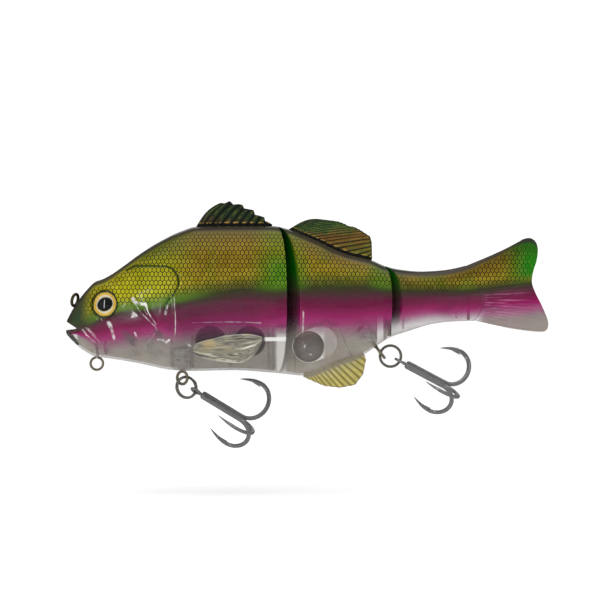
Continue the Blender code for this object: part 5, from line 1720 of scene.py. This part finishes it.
def lamps():
    area("top", (90, -60, 900), (90, 0, 0), 1100, 500, 0.5)
    area("front_left", (-330, -760, 30), (60, 0, -4), 60, 300, 15.0)
    area("front_right", (720, -520, 380), (90, 0, 0), 120, 120, 6.0)
    area("back_soft", (150, 900, 500), (90, 0, 0), 800, 500, 0.8)
    sun = bpy.data.lights.new("sky", "SUN")
    sun.energy = 0.9
    sun.angle = math.radians(70)
    lamp = bpy.data.objects.new("sky", sun)
    bpy.context.collection.objects.link(lamp)
    lamp.rotation_euler = (math.radians(12), 0, 0)


def camera():
    """Square on to the left flank, with the photograph's framing."""
    data = bpy.data.cameras.new("camera")
    data.lens = 150
    data.sensor_width = 36
    data.clip_end = 100
    obj = bpy.data.objects.new("camera", data)
    bpy.context.collection.objects.link(obj)
    seen_width = 237.0
    obj.location = Vector((88.9, -seen_width * data.lens / data.sensor_width, 0.0)) * MM
    obj.rotation_euler = (math.radians(90), 0, 0)
    bpy.context.scene.camera = obj


def main():
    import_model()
    bpy.context.scene.view_settings.view_transform = "Standard"
    camera()
    floor()
    sky()
    lamps()
    paint = paint_material("scale_paint_over_clear")
    clear = clear_material("clear_moulding", srgb(120, 112, 104), 0.22, 0.5, 0.12, 0.15)
    grey = clear_material("swivel_boss_clear", srgb(226, 224, 220), 0.50, 0.9)
    pink = clear_material("shelf_moulding", srgb(160, 70, 118), 0.5, 0.9)
    dark_lip = clear_material("lip_paint", srgb(70, 74, 70), 0.97, 1.0, 0.12)
    wire = metal_material("stainless_wire_drawn", srgb(70, 64, 50), srgb(176, 166, 142), 0.2, 0.4)
    barrel_look = metal_material("barrel_satin", srgb(110, 110, 108), srgb(176, 176, 172), 0.3, 0.5)
    hook_look = metal_material("black_nickel_forged", srgb(122, 122, 122), srgb(162, 162, 162), 0.14,
                               0.26)
    ring_look = metal_material("ring_nickel", srgb(96, 92, 86), srgb(150, 146, 138), 0.14, 0.28)
    steel = metal_material("ball_steel", srgb(58, 56, 60), srgb(90, 88, 94), 0.08, 0.18,
                           (0.8, 0.8, 0.8), 0.5)
    bright_steel = metal_material("rattle_steel", srgb(100, 98, 104), srgb(166, 164, 170), 0.08, 0.16,
                                  (0.8, 0.8, 0.8), 0.75)
    main_shells(paint)
    haze = clear_material("weld_web", srgb(190, 183, 168), 0.72, 0.9, 0.3, 0.2, 0.12)
    insides(clear, pink, steel, bright_steel, grey, haze)
    hinge_hardware(wire, clear)
    fins(paint)
    pectorals(glassy_fin_material())
    eyes()
    lip(dark_lip)
    nose_tie(wire, metal_material("tie_aged_brass", srgb(40, 36, 26), srgb(104, 92, 58), 0.2,
                                  0.4))
    chin_tie(wire)
    swivel(FRONT_SWIVEL, "front", "front_section", wire, barrel_look)
    swivel(REAR_SWIVEL, "rear", "middle_section", wire, barrel_look)
    hook_chains(hook_look, ring_look)
    turned_pin("tail_pin_turned", 0.58, 0.42, 0.2, 21.2, (155.4, 0, -7.9), wire, "rear_section",
               "tail_pin", 24)
    bpy.context.view_layer.update()


main()
